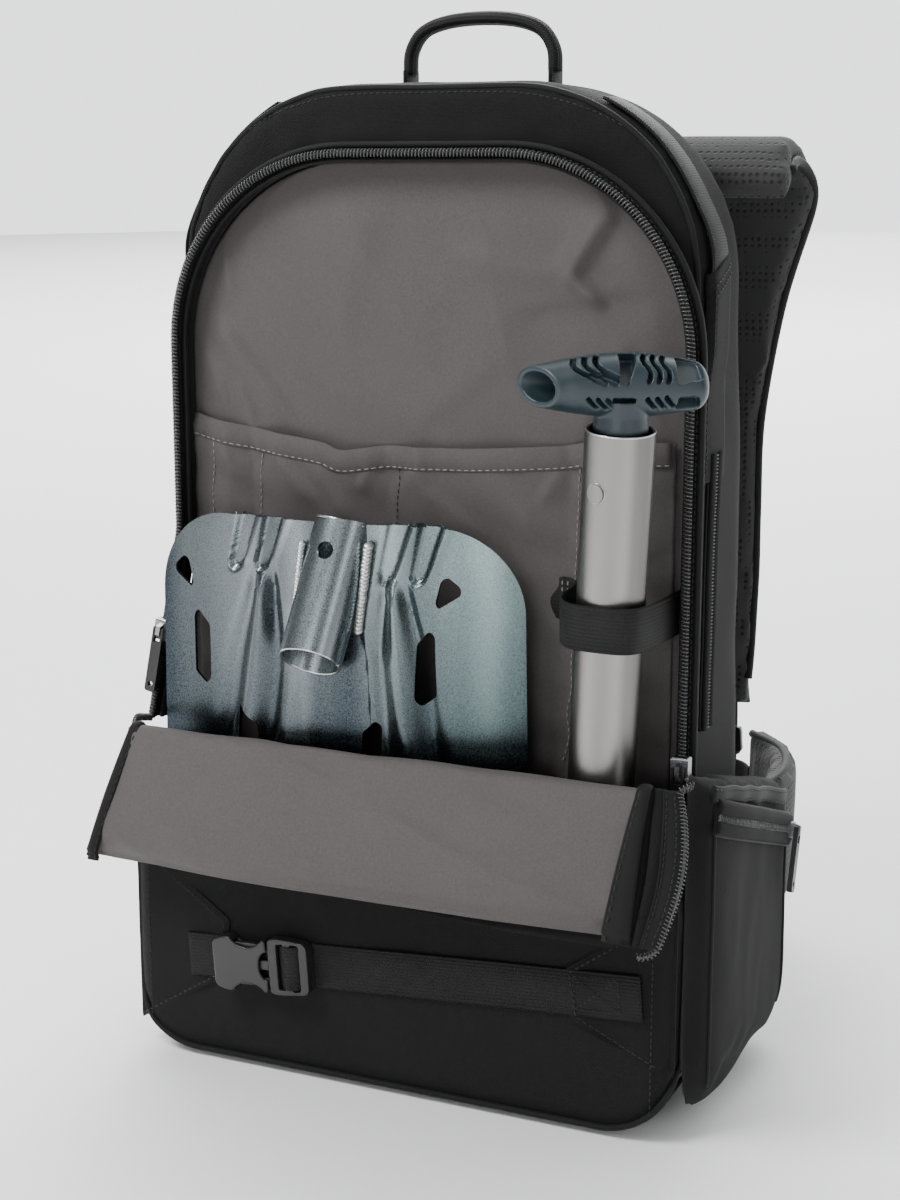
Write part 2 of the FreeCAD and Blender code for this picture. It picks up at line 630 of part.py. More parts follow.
def socket(run, turn):
    """The tube that the shaft plugs into. Its lower end stands proud of the blade, and two welds hold it."""
    long = (SOCKET_TOP - SOCKET_LOW).Length
    wall = cylinder("SocketWall", "socket_out", str(long), FreeCAD.Placement(SOCKET_LOW, turn))
    bore = cylinder("SocketBore", "inner_r + socket_clear", str(long + 4),
                    FreeCAD.Placement(SOCKET_LOW - run * 2, turn))
    forward = run.cross(Vector(1, 0, 0)).normalize()
    hole_at = SOCKET_LOW + run * (long - 17)
    if forward.y < 0:
        forward = -forward
    hole = cylinder("SocketHole", "button_r", "30",
                    FreeCAD.Placement(hole_at - forward * 30, FreeCAD.Rotation(Vector(0, 0, 1), forward)))
    export("blade_socket", cut("BladeSocket", wall, bore, hole))
    beads = []
    aside, bead_r = value("socket_out") + 2.4, 2.2
    for side, surface, reach in ((-1, 89.5, 44), (1, 88.4, 46)):
        foot, head = (SOCKET_LOW + run * up + Vector(side * aside, 0, 0) for up in (15, 15 + reach))
        foot.y = head.y = -surface - bead_r - 0.1
        beads.append(plain(f"Bead{side}", Part.makeCylinder(bead_r, (head - foot).Length, foot, head - foot)))
    export("weld_beads", group("WeldBeads", *beads))


SHAFT_RUN = Vector(0.0745, -0.1034, 1).normalize()
SHAFT_LOW = Vector(103.6, -67.9, 89)
SHAFT_AT = FreeCAD.Placement(SHAFT_LOW, FreeCAD.Rotation(Vector(0, 0, 1), SHAFT_RUN))
GRIP_TURN = FreeCAD.Rotation(Vector(0, 0, 1), 32)
BUTTON_UP, INNER_OUT, INNER_LONG = 248, 40, 250


def shaft():
    """The telescoping shaft and its T grip, in the shaft's own frame with z along it."""
    wall = cylinder("ShaftOuter", "shaft_r", "shaft_long")
    bore = cylinder("ShaftBore", "shaft_r - shaft_wall", "shaft_long + 4", place(z=-2))
    button_way = FreeCAD.Placement(Vector(0, 0, BUTTON_UP),
                                   FreeCAD.Rotation(Vector(0, 0, 1), Vector(-0.3, -0.954, 0)))
    window = cylinder("ButtonWindow", "button_r + 0.05", "40", button_way)
    outer = cut("ShovelShaft", wall, bore, window)
    outer.Placement = SHAFT_AT
    settle(outer)
    export("shovel_shaft", outer)

    inner_wall = cylinder("InnerWall", "inner_r", str(INNER_LONG), place(z=-INNER_OUT))
    inner_bore = cylinder("InnerBore", "inner_r - shaft_wall", str(INNER_LONG + 4), place(z=-INNER_OUT - 2))
    catch = cylinder("InnerCatch", "button_r", "40",
                     FreeCAD.Placement(Vector(0, 0, -INNER_OUT + 17), button_way.Rotation))
    inner = cut("InnerShaft", inner_wall, inner_bore, catch)
    inner.Placement = SHAFT_AT
    settle(inner)
    export("inner_shaft", inner)

    def on_button(depth):
        return FreeCAD.Placement(button_way.multVec(Vector(0, 0, value("shaft_r + button_out") - depth)),
                                 button_way.Rotation)

    head = cylinder("ButtonHead", "button_r", "6", on_button(6))
    foot = cylinder("ButtonFoot", "button_r - 1.2", "5", on_button(11))
    button = fuse("SpringButton", head, foot)
    button.Placement = SHAFT_AT
    settle(button)
    export("spring_button", button)
    grip()


def grip():
    """T grip: a hollow spindle across a round neck, its open end cut at a slant."""
    half, radius = value("grip_long") / 2, value("grip_r")
    outline = [Vector(-half, 0, 11), Vector(-half * 0.55, 0, radius * 0.93), Vector(0, 0, radius),
               Vector(half * 0.55, 0, radius * 0.88), Vector(half, 0, 7)]
    crown = Part.BSplineCurve()
    crown.interpolate(outline)
    left, right = Vector(-half, 0, 0), Vector(half, 0, 0)
    edges = [Part.LineSegment(left, outline[0]).toShape(), crown.toShape(),
             Part.LineSegment(outline[-1], right).toShape(), Part.LineSegment(right, left).toShape()]
    spindle = Part.Face(Part.Wire(edges)).revolve(Vector(0, 0, 0), Vector(1, 0, 0), 360)
    hollow = Part.makeCylinder(5, half * 2 + 4, Vector(-half - 2, 0, 0), Vector(1, 0, 0))
    neck = Part.makeCylinder(13, 14, Vector(0, 0, -20.6), Vector(0, 0, 1))
    plug = Part.makeCylinder(value("shaft_r - shaft_wall") - 0.1, 10, Vector(0, 0, -30.6), Vector(0, 0, 1))
    made = plain("ShovelGrip", spindle.fuse([neck, plug]).cut(hollow).removeSplitter())
    made.Placement = SHAFT_AT.multiply(FreeCAD.Placement(Vector(0, 0, value("shaft_long") + 21), GRIP_TURN))
    settle(made)
    export("shovel_grip", made)


# ---------------------------------------------------------------- airbag system, inside the pack

CANISTER = Vector(62, 16, 42)


def airbag_system():
    """A gas canister screwed into an inflator head, a hose up to the folded bag, and the trigger's cable."""
    r, body = value("bottle_r"), value("bottle_long")
    foot, shoulder = 8, 22
    outline = [Vector(0, 0, 0), Vector(r - foot, 0, 0), Vector(r, 0, foot), Vector(r, 0, body - shoulder),
               Vector(9, 0, body), Vector(9, 0, body + 18), Vector(4, 0, body + 18), Vector(4, 0, body + 9),
               Vector(0, 0, body + 9), Vector(0, 0, 0)]
    face = Part.Face(Part.makePolygon(outline))
    export("gas_canister", plain("GasCanister", face.revolve(Vector(0, 0, 0), Vector(0, 0, 1), 360),
                                 place(*CANISTER)))

    top = CANISTER.z + body + 3
    head = slab("InflatorHead", "XY", "0", "head_h",
                [("-head_w / 2", "-head_d / 2"), ("head_w / 2", "-head_d / 2"),
                 ("head_w / 2", "head_d / 2"), ("-head_w / 2", "head_d / 2")], [("5", along("z"))])
    throat = cylinder("HeadThroat", "9.4", "20", place(z=-4))
    pin_way = cylinder("PinWay", "pin_r + pin_clear", "60", place(z=-2))
    cap = cylinder("PinHeadWay", "7", "14", place(z=value("head_h") - 12))
    body_cut = cut("HeadBody", head, throat, cap, pin_way)
    body_cut.Placement = place(CANISTER.x, CANISTER.y, top)
    settle(body_cut)
    export("inflator_head", body_cut)
    stem = cylinder("PinStem", "pin_r", "26", place(z=16.4 + 1))
    button = cylinder("PinHead", "6.6", "5", place(z=value("head_h") - 5.5))
    pin = fuse("PiercingPin", stem, button)
    pin.Placement = place(CANISTER.x, CANISTER.y, top)
    settle(pin)
    export("piercing_pin", pin)

    export("airbag", slab("Airbag", "XZ", "-30", "58", rectangle("bag_half", "bag_low", "bag_high"),
                          [("20", along("y")), ("6", lying("y", 30)), ("6", lying("y", -28))]))
    port_x = CANISTER.x - value("head_w") / 2
    route = [(port_x - 0.2, 16, top + 20), (22, 16, top + 20), (6, 14, top + 46), (1, 10, top + 90),
             (0, 10, 407.6)]
    export("inflation_hose", tube("InflationHose", route, 7))
    route = [(port_x - 0.2, 28, top + 36), (20, 28, top + 36), (-10, 30, top + 70), (-50, 33, top + 104),
             (-76, 35, top + 148),
             (-84, 34, 432)]
    export("trigger_cable", tube("TriggerCable", route, 2.5))
    middle = 250
    sheet_at = lean(-3.4, middle)
    export("frame_sheet", slab("FrameSheet", "XZ", "0", "1.6", rectangle("100", "-200", "190"),
                               [("30", along("y"))], at=sheet_at))
    stays = [slab(f"Stay{side}", "XZ", "1.8", "2.6",
                  [(f"{side * 70 - 6}", "-190"), (f"{side * 70 + 6}", "-190"),
                   (f"{side * 70 + 6}", "180"), (f"{side * 70 - 6}", "180")], at=sheet_at)
             for side in (-1, 1)]
    export("frame_stays", group("FrameStays", *stays))


# ---------------------------------------------------------------- harness


def lean(y_gap, z):
    """A frame on the leaning back face at a height, y_gap out from it."""
    return place(0, back_y(z) + y_gap, z, (1, 0, 0), BACK_LEAN)


def back_and_belt():
    middle = (value("panel_low") + value("panel_high")) / 2
    tall = value("panel_high - panel_low") / 2
    export("back_panel", slab("BackPanel", "XZ", "-14.4", "14",
                              [("-panel_half", str(-tall)), ("panel_half", str(-tall)),
                               ("panel_half - 14", str(tall)), ("-panel_half + 14", str(tall))],
                              [("26", along("y")), ("5", lying("y", 14.4))], at=lean(0, middle)))
    export("lumbar_pad", slab("LumbarPad", "XZ", "-26.8", "12",
                              [("-78", "-36"), ("78", "-36"), ("66", "36"), ("-66", "36")],
                              [("16", along("y")), ("4", lying("y", 26.8))], at=lean(0, 106)))
    # hip wings curl back and inward, as round a waist
    root = back_y(86) + 2
    path = [(122, root + 10, 0), (133, root + 32, 0), (138, root + 80, 0), (127, root + 126, 0),
            (100, root + 154, 0)]
    wing = ribbon("HipWing", path, None, value("wing_thick"), (0, 0, value("wing_high - wing_low")),
                  place(z=value("wing_low")))
    export("hip_wing_right", wing)
    export("hip_wing_left", mirrored("HipWingLeft", wing))
    belt = [(99, root + 160, 0), (80, root + 170, 0), (36, root + 172, 0)]
    web = ribbon("HipWeb", belt, None, 2, (0, 0, 38), place(z=67))
    tip = slab("HipFrame", "XY", "64", "44", [("10", f"{root + 168}"), ("35.8", f"{root + 168}"),
                                              ("35.8", f"{root + 176}"), ("10", f"{root + 176}")],
               [("3", along("y"))])
    gap = slab("HipFrameSlot", "XY", "67", "38", [("15", f"{root + 160}"), ("21", f"{root + 160}"),
                                                  ("21", f"{root + 190}"), ("15", f"{root + 190}")])
    export("hip_webbing_right", web)
    export("hip_webbing_left", mirrored("HipWebLeft", web))
    export("hip_buckle_frame", cut("HipBuckleFrame", tip, gap))
    tongue = slab("HipTongue", "XY", "66", "40", [("-35.8", f"{root + 170}"), ("-4", f"{root + 170}"),
                                                  ("-4", f"{root + 174}"), ("-35.8", f"{root + 174}")],
                  [("6", along("y", lambda c: c.x > -10))])
    notch = slab("HipTongueNotch", "XY", "78", "16",
                 [("-16", f"{root + 160}"), ("-10", f"{root + 160}"), ("-10", f"{root + 180}"),
                  ("-16", f"{root + 180}")])
    export("hip_buckle_tongue", cut("HipBuckleTongue", tongue, notch))


TURNED_SIDEWAYS = (Vector(0, 1, 0), Vector(0, 0, 1), Vector(1, 0, 0))


def shoulder_straps():
    """Each strap is the side-on curve of its pad, cut to its outline as seen from behind."""
    side = [(56, 468), (82, 493), (107, 478), (123, 400), (126, 320), (120, 250), (108, 178)]
    sweep = ribbon("PadCurve", [(y, z, 0) for y, z in side], None, -value("pad_thick"), (0, 0, 200))
    sweep.Placement = FreeCAD.Placement(Vector(0, 0, 0),
                                        FreeCAD.Rotation(*TURNED_SIDEWAYS, "XYZ"))
    settle(sweep)
    outline = [("66", "440"), ("74", "398"), ("66", "340"), ("70", "262"), ("96", "166"), ("132", "166"),
               ("132", "262"), ("130", "340"), ("142", "412"), ("164", "474"), ("152", "510"), ("76", "510")]
    plan = slab("PadPlan", "XZ", "-200", "200", outline)
    pad = common("ShoulderPad", sweep, plan)
    export("shoulder_strap_right", pad)
    export("shoulder_strap_left", mirrored("ShoulderPadLeft", pad))
    # ladder lock and lower webbing under each pad, and the tab it runs to
    lock = slab("LadderLock", "XZ", "-112", "5",
                [("100", "150"), ("132", "150"), ("130", "165.6"), ("102", "165.6")])
    slot = slab("LadderSlot", "XZ", "-120", "20",
                [("104", "153"), ("128", "153"), ("128", "156.5"), ("104", "156.5")])
    lock = cut("LadderLocks", lock, slot)
    export("ladder_lock_right", lock)
    export("ladder_lock_left", mirrored("LadderLockLeft", lock))
    path = [(113.4, 166), (114, 150), (106, 120), (99, 98)]
    web = ribbon("StrapWeb", [(y, z, 0) for y, z in path], None, -value("web_thick"), (0, 0, 22))
    web.Placement = FreeCAD.Placement(Vector(105, 0, 0),
                                      FreeCAD.Rotation(*TURNED_SIDEWAYS, "XYZ"))
    settle(web)
    export("strap_webbing_right", web)
    export("strap_webbing_left", mirrored("StrapWebLeft", web))


def handles():
    """The loop at the top of the pack, and the trigger on the left strap."""
    rise = value("pack_top") + 6
    route = [(-42, 26, rise), (-40, 26, rise + 16), (-22, 26, rise + 27), (22, 26, rise + 27),
             (40, 26, rise + 16), (42, 26, rise)]
    export("grab_handle", tube("GrabHandle", route, 5))
    handle = slab("TriggerHandle", "XZ", "-150", "10.5",
                  [("-112", "300"), ("-92", "300"), ("-92", "338"), ("-80", "346"),
                   ("-80", "360"), ("-124", "360"), ("-124", "346"), ("-112", "338")],
                  [("4", along("y", lambda c: c.z < 310 or c.z > 355)), ("2", lying("y", 150)),
                   ("2", lying("y", 139.5))])
    export("trigger_handle", handle)


def finish():
    os.makedirs("parts", exist_ok=True)
    doc.recompute()
    for feature in doc.Objects:
        if {"Invalid", "Error"} & set(feature.State):
            raise RuntimeError(f"{feature.Label} is in state {feature.State}")
    for label, feature in nodes.items():
        shape = feature.Shape
        if shape.isNull() or not shape.isValid() or not shape.Solids:
            raise RuntimeError(f"{label} has no valid solid")
        shape.exportStep(f"parts/{label}.step")
    print(len(nodes), "sub-parts written")


pack_body()
lining()
opening()
side_pockets()
webbing()
board_strap()
flap()
sliders()
socket(*blade())
shaft()
airbag_system()
back_and_belt()
shoulder_straps()
handles()
finish()
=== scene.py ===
import math

import bmesh
import bpy
import numpy as np
from mathutils import Matrix, Vector, noise


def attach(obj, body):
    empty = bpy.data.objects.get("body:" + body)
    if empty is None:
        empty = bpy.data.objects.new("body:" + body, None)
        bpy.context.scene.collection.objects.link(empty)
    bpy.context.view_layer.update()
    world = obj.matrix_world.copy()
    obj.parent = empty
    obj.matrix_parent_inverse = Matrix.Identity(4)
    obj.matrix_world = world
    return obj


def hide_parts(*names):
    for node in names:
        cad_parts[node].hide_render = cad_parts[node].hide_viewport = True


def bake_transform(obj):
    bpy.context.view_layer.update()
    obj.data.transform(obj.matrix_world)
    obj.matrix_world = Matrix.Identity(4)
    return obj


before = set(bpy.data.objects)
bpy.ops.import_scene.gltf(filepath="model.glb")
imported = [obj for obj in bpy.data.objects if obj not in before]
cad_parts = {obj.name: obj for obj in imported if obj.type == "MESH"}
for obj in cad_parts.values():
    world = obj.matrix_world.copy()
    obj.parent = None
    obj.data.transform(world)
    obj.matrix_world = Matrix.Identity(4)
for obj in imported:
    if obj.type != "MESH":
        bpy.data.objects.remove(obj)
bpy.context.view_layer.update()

MM = 0.001


ACROSS, BACKWARD, UPWARD = Vector((1, 0, 0)), Vector((0, 1, 0)), Vector((0, 0, 1))
FORWARD = Vector((0, -1, 0))


def mm(*values):
    return Vector([v * MM for v in values])


def place_in_scene(made):
    bpy.context.scene.collection.objects.link(made)


# ---------------------------------------- camera, lights and floor

VIEW_AZIMUTH, VIEW_ELEVATION, VIEW_DISTANCE = math.radians(24), math.radians(12), 1.053
LOOK_AT = mm(15, -50, 262)


def camera():
    away = Vector((math.sin(VIEW_AZIMUTH) * math.cos(VIEW_ELEVATION),
                   -math.cos(VIEW_AZIMUTH) * math.cos(VIEW_ELEVATION), math.sin(VIEW_ELEVATION)))
    data = bpy.data.cameras.new("Camera")
    data.lens, data.sensor_width = 60, 36
    made = bpy.data.objects.new("Camera", data)
    made.location = LOOK_AT + away * VIEW_DISTANCE
    made.rotation_euler = away.to_track_quat("Z", "Y").to_euler()
    place_in_scene(made)
    bpy.context.scene.camera = made


def softbox(name, place, aim, size, power):
    data = bpy.data.lights.new(name, "AREA")
    data.shape, data.size, data.size_y, data.energy = "RECTANGLE", size[0], size[1], power
    made = bpy.data.objects.new(name, data)
    made.location = place
    made.rotation_euler = (Vector(place) - Vector(aim)).to_track_quat("Z", "Y").to_euler()
    place_in_scene(made)


def studio():
    softbox("Key", (-0.55, -0.75, 1.25), (0, -0.05, 0.3), (0.5, 0.5), 19)
    softbox("Front", (0.1, -1.9, 0.5), (0, 0, 0.2), (0.8, 0.5), 9)
    softbox("Side", (1.5, -1.1, 0.8), (0, 0, 0.25), (0.3, 1.2), 4)
    softbox("Back", (-1.2, 3.6, 2.8), (-1.4, 3.6, 0), (6.0, 3.6), 220)
    softbox("Far", (-3.0, 10.5, 5.0), (-3.1, 10.5, 0), (16.0, 7.0), 1300)
    world = bpy.data.worlds.new("Studio")
    world.use_nodes = True
    tree = world.node_tree
    _, _, y, z = axes(tree, "Generated")
    behind = node(tree, "MapRange", Value=y, i1=0.15, i2=0.75, i3=0.2, i4=2.2).outputs[0]
    above = node(tree, "MapRange", Value=z, i1=0.3, i2=0.9, i3=0.0, i4=0.5).outputs[0]
    shine = plus(tree, behind, above)
    tree.nodes["Background"].inputs[0].default_value = (0.98, 0.99, 1.0, 1)
    tree.links.new(shine, tree.nodes["Background"].inputs[1])
    bpy.context.scene.world = world
    reach, near = 14.0, -3.0
    floor = loose("Floor", [(-reach, near, 0), (reach, near, 0), (reach, reach, 0), (-reach, reach, 0)],
                  [(0, 1, 2, 3)])
    floor.rotation_euler.z = -VIEW_AZIMUTH
    tree, shader = blank_material("FloorPaint", (0.93, 0.93, 0.93), 0.9)
    place, *_ = axes(tree)
    grain = speckle(tree, place, 40)
    tree.links.new(tint(tree, grain, (0.92, 0.92, 0.92), (0.94, 0.94, 0.94)), shader.inputs["Base Color"])
    floor.data.materials.append(bpy.data.materials["FloorPaint"])


# ---------------------------------------- materials


def blank_material(name, colour, rough, metallic=0.0):
    material = bpy.data.materials.new(name)
    material.use_nodes = True
    tree = material.node_tree
    shader = tree.nodes["Principled BSDF"]
    shader.inputs["Base Color"].default_value = (*colour, 1)
    shader.inputs["Roughness"].default_value = rough
    shader.inputs["Metallic"].default_value = metallic
    return tree, shader


def node(tree, kind, operation=None, **inputs):
    """Adds a node. An input's value is a plain value or another node's output."""
    made = tree.nodes.new("ShaderNode" + kind)
    if operation:
        made.operation = operation
    for key, given in inputs.items():
        index = int(key[1:]) if key[0] == "i" and key[1:].isdigit() else key.replace("_", " ")
        if isinstance(given, bpy.types.NodeSocket):
            tree.links.new(given, made.inputs[index])
        else:
            made.inputs[index].default_value = given
    return made


def math_node(tree, operation, a, b=0.0, c=0.0):
    """A Math node's output. c is what MULTIPLY_ADD adds."""
    made = node(tree, "Math", operation, i0=a, i1=b)
    if operation == "MULTIPLY_ADD":
        made.inputs[2].default_value = c
    return made.outputs[0]


def plus(tree, a, b):
    return math_node(tree, "ADD", a, b)


def times(tree, a, b):
    return math_node(tree, "MULTIPLY", a, b)


def axes(tree, source="Object"):
    """The coordinate's output, and its x, y and z."""
    coordinate = tree.nodes.new("ShaderNodeTexCoord")
    split = node(tree, "SeparateXYZ", i0=coordinate.outputs[source])
    return coordinate.outputs[source], split.outputs[0], split.outputs[1], split.outputs[2]


def speckle(tree, place, scale, detail=2.0, rough=0.6):
    return node(tree, "TexNoise", Vector=place, Scale=scale, Detail=detail, Roughness=rough).outputs["Fac"]


def tint(tree, factor, dark, light):
    ramp = tree.nodes.new("ShaderNodeMix")
    ramp.data_type = "RGBA"
    tree.links.new(factor, ramp.inputs[0])
    ramp.inputs[6].default_value = (*dark, 1)
    ramp.inputs[7].default_value = (*light, 1)
    return ramp.outputs[2]


def bump(tree, shader, height, distance):
    made = node(tree, "Bump", Height=height, Distance=distance, Strength=1.0)
    tree.links.new(made.outputs[0], shader.inputs["Normal"])


def scaled(colour, amount):
    return tuple(min(1.0, c * amount) for c in colour)


def woven(name, colour, pitch, twill=True, rough=0.8, sheen=0.25, contrast=0.3, relief=0.00012, slub=0.25):
    """Plain or twill weave from the place in the piece, with uneven dye and a little sheen."""
    tree, shader = blank_material(name, colour, rough)
    place, x, y, z = axes(tree)
    turn = 2 * math.pi / pitch
    along_x = times(tree, plus(tree, x, y), turn)
    along_z = times(tree, z, turn)
    warp = math_node(tree, "SINE", along_x)
    weft = math_node(tree, "SINE", along_z)
    if twill:
        diagonal = math_node(tree, "SINE", plus(tree, along_x, along_z))
        cross = times(tree, math_node(tree, "SINE", times(tree, along_z, 2.0)), 0.35)
        weave = plus(tree, diagonal, cross)
    else:
        weave = times(tree, warp, weft)
    weave = math_node(tree, "MULTIPLY_ADD", weave, 0.5, 0.5)
    fine = speckle(tree, place, 900, 3)
    broad = speckle(tree, place, 18, 4)
    shade = plus(tree, times(tree, weave, contrast),
                      times(tree, fine, 1 - contrast - slub))
    shade = plus(tree, shade, times(tree, broad, slub))
    tree.links.new(tint(tree, shade, scaled(colour, 0.55), scaled(colour, 1.5)), shader.inputs["Base Color"])
    shader.inputs["Sheen Weight"].default_value = sheen
    shader.inputs["Sheen Roughness"].default_value = 0.45
    shader.inputs["Specular IOR Level"].default_value = 0.16
    bump(tree, shader, plus(tree, weave, times(tree, fine, 0.7)), relief)
    return bpy.data.materials[name]


RIB_PITCH, WEFT_PITCH = 0.0019, 0.0014


def ribbed(name, colour):
    """Webbing: rounded ribs along it, crossed by its weft. It reads the strap's own map, which is in
    metres."""
    tree, shader = blank_material(name, colour, 0.62)
    _, u, v, _ = axes(tree, "UV")
    rib = math_node(tree, "SINE", times(tree, v, 2 * math.pi / RIB_PITCH))
    weft = math_node(tree, "SINE", times(tree, u, 2 * math.pi / WEFT_PITCH))
    both = math_node(tree, "MULTIPLY_ADD", times(tree, rib, weft), 0.5, 0.5)
    rib = math_node(tree, "MULTIPLY_ADD", rib, 0.5, 0.5)
    height = plus(tree, times(tree, both, 0.6), times(tree, rib, 0.4))
    place = tree.nodes.new("ShaderNodeTexCoord").outputs["Object"]
    worn = speckle(tree, place, 60, 3)
    shade = math_node(tree, "MULTIPLY_ADD", times(tree, height, worn), 1.5, 0.0)
    tree.links.new(tint(tree, shade, scaled(colour, 0.25), scaled(colour, 1.9)), shader.inputs["Base Color"])
    shader.inputs["Specular IOR Level"].default_value = 0.22
    bump(tree, shader, height, 0.0005)
    return bpy.data.materials[name]


def spacer_mesh(name, colour):
    """Perforated spacer mesh over foam: staggered round holes and a knitted ground."""
    tree, shader = blank_material(name, colour, 0.85)
    place = axes(tree)[0]
    cells = node(tree, "TexVoronoi", Vector=place, Scale=260.0, Randomness=0.15)
    hole = node(tree, "MapRange", Value=cells.outputs["Distance"], i1=0.18, i2=0.36).outputs[0]
    fine = speckle(tree, place, 1400, 2)
    shade = times(tree, hole, math_node(tree, "MULTIPLY_ADD", fine, 0.8, 0.5))
    tree.links.new(tint(tree, shade, scaled(colour, 0.15), scaled(colour, 2.2)), shader.inputs["Base Color"])
    shader.inputs["Sheen Weight"].default_value = 0.04
    bump(tree, shader, hole, 0.0006)
    return bpy.data.materials[name]


def moulded(name, colour, rough=0.45, grain=2200, relief=0.00004):
    """Moulded plastic with a fine spark texture and scuffed lighter patches."""
    tree, shader = blank_material(name, colour, rough)
    place, *_ = axes(tree)
    fine = speckle(tree, place, grain, 2)
    scuff = speckle(tree, place, 55, 5, 0.7)
    tree.links.new(tint(tree, scuff, scaled(colour, 0.8), scaled(colour, 1.3)), shader.inputs["Base Color"])
    spread = node(tree, "MapRange", Value=scuff, i1=0.3, i2=0.7, i3=rough - 0.08, i4=rough + 0.12)
    tree.links.new(spread.outputs[0], shader.inputs["Roughness"])
    bump(tree, shader, fine, relief)
    return bpy.data.materials[name]


def metal(name, colour, rough, grain=1800, relief=0.00003, scratch=0.0, variety=0.12, painted_shading_stops=None):
    """Satin metal. The optional stops are (place, level) pairs across the shovel's shaft that paint its
    shading: a lit middle and darker flanks, as light falls on the round tube."""
    tree, shader = blank_material(name, colour, rough, 1.0)
    place, x, _, z = axes(tree)
    fine = speckle(tree, place, grain, 3, 0.7)
    broad = speckle(tree, place, 14, 4)
    shade = plus(tree, times(tree, fine, 0.6), times(tree, broad, 0.4))
    if painted_shading_stops:
        # painted shading across the round tube: a lit middle and darker flanks
        aside = math_node(tree, "SUBTRACT", x, math_node(tree, "MULTIPLY_ADD", z, 0.0745, 0.097))
        across = node(tree, "MapRange", Value=aside, i1=-0.017, i2=0.017).outputs[0]
        painted_tube_shade = times(tree, ramp(tree, across, painted_shading_stops), 0.7)
        shade = plus(tree, painted_tube_shade, times(tree, shade, 0.3))
    tree.links.new(tint(tree, shade, scaled(colour, 1 - variety), scaled(colour, 1 + variety)),
                   shader.inputs["Base Color"])
    spread = node(tree, "MapRange", Value=fine, i1=0.25, i2=0.75, i3=rough - 0.1, i4=rough + 0.14)
    tree.links.new(spread.outputs[0], shader.inputs["Roughness"])
    if scratch:
        stretched = node(tree, "Mapping", Vector=place, Scale=(300, 300, 6)).outputs[0]
        fine = plus(tree, fine, times(tree, speckle(tree, stretched, 4, 3), scratch))
    bump(tree, shader, fine, relief)
    return bpy.data.materials[name]


def ramp(tree, factor, stops):
    """A smooth grey level that passes through (place, level) stops, with both from 0 to 1."""
    made = tree.nodes.new("ShaderNodeValToRGB")
    made.color_ramp.interpolation = "EASE"
    points = made.color_ramp.elements
    while len(points) < len(stops):
        points.new(0.5)
    for point, (place, grey) in zip(points, stops):
        point.position, point.color = place, (grey, grey, grey, 1)
    tree.links.new(factor, made.inputs[0])
    return made.outputs[0]


def blade_metal():
    """Tinted anodised sheet with painted light: painted shade, dark steel blue, at its left edge and towards
    its foot, painted highlight streaks in silver along its pressed shapes, and pale grey-green on its right,
    all with a coarse satin grain."""
    name = "BladeAnodised"
    tree, shader = blank_material(name, (0.3, 0.36, 0.38), 0.4, 1.0)
    place, x, _, z = axes(tree)
    fine = speckle(tree, place, 1300, 3, 0.75)
    broad = speckle(tree, place, 11, 3)
    across = node(tree, "MapRange", Value=plus(tree, x, times(tree, broad, 0.012)),
                  i1=-0.144, i2=0.076).outputs[0]
    # painted light: painted highlight streaks along the pressed ridges, painted shade between them and at the
    # left edge
    painted_highlight_streaks = ramp(tree, across, ((0.0, 0.02), (0.12, 0.36), (0.28, 0.62), (0.36, 0.40), (0.43, 0.86),
                                  (0.48, 0.40), (0.55, 0.25), (0.62, 0.60), (0.665, 0.85), (0.73, 0.42),
                                  (0.83, 0.60), (0.90, 0.95), (0.96, 0.55), (1.0, 0.30)))
    # painted shade: the sheet darker towards its foot
    low = node(tree, "MapRange", Value=z, i1=0.17, i2=0.29).outputs[0]
    painted_streaks_and_foot_shade = times(tree, painted_highlight_streaks, math_node(tree, "MULTIPLY_ADD", low, 0.85, 0.15))
    grain = times(tree, math_node(tree, "SUBTRACT", fine, 0.5), 0.85)
    shade = plus(tree, painted_streaks_and_foot_shade, grain)
    silver = tint(tree, shade, (0.014, 0.024, 0.033), (0.32, 0.355, 0.365))
    green = tint(tree, shade, (0.014, 0.024, 0.033), (0.245, 0.325, 0.32))
    turn = tree.nodes.new("ShaderNodeMix")
    turn.data_type = "RGBA"
    tree.links.new(node(tree, "MapRange", Value=x, i1=-0.03, i2=0.04).outputs[0], turn.inputs[0])
    tree.links.new(silver, turn.inputs[6])
    tree.links.new(green, turn.inputs[7])
    tree.links.new(turn.outputs[2], shader.inputs["Base Color"])
    rough = node(tree, "MapRange", Value=fine, i1=0.25, i2=0.75, i3=0.2, i4=0.38)
    tree.links.new(rough.outputs[0], shader.inputs["Roughness"])
    bump(tree, shader, fine, 0.00006)
    return bpy.data.materials[name]


M = {}


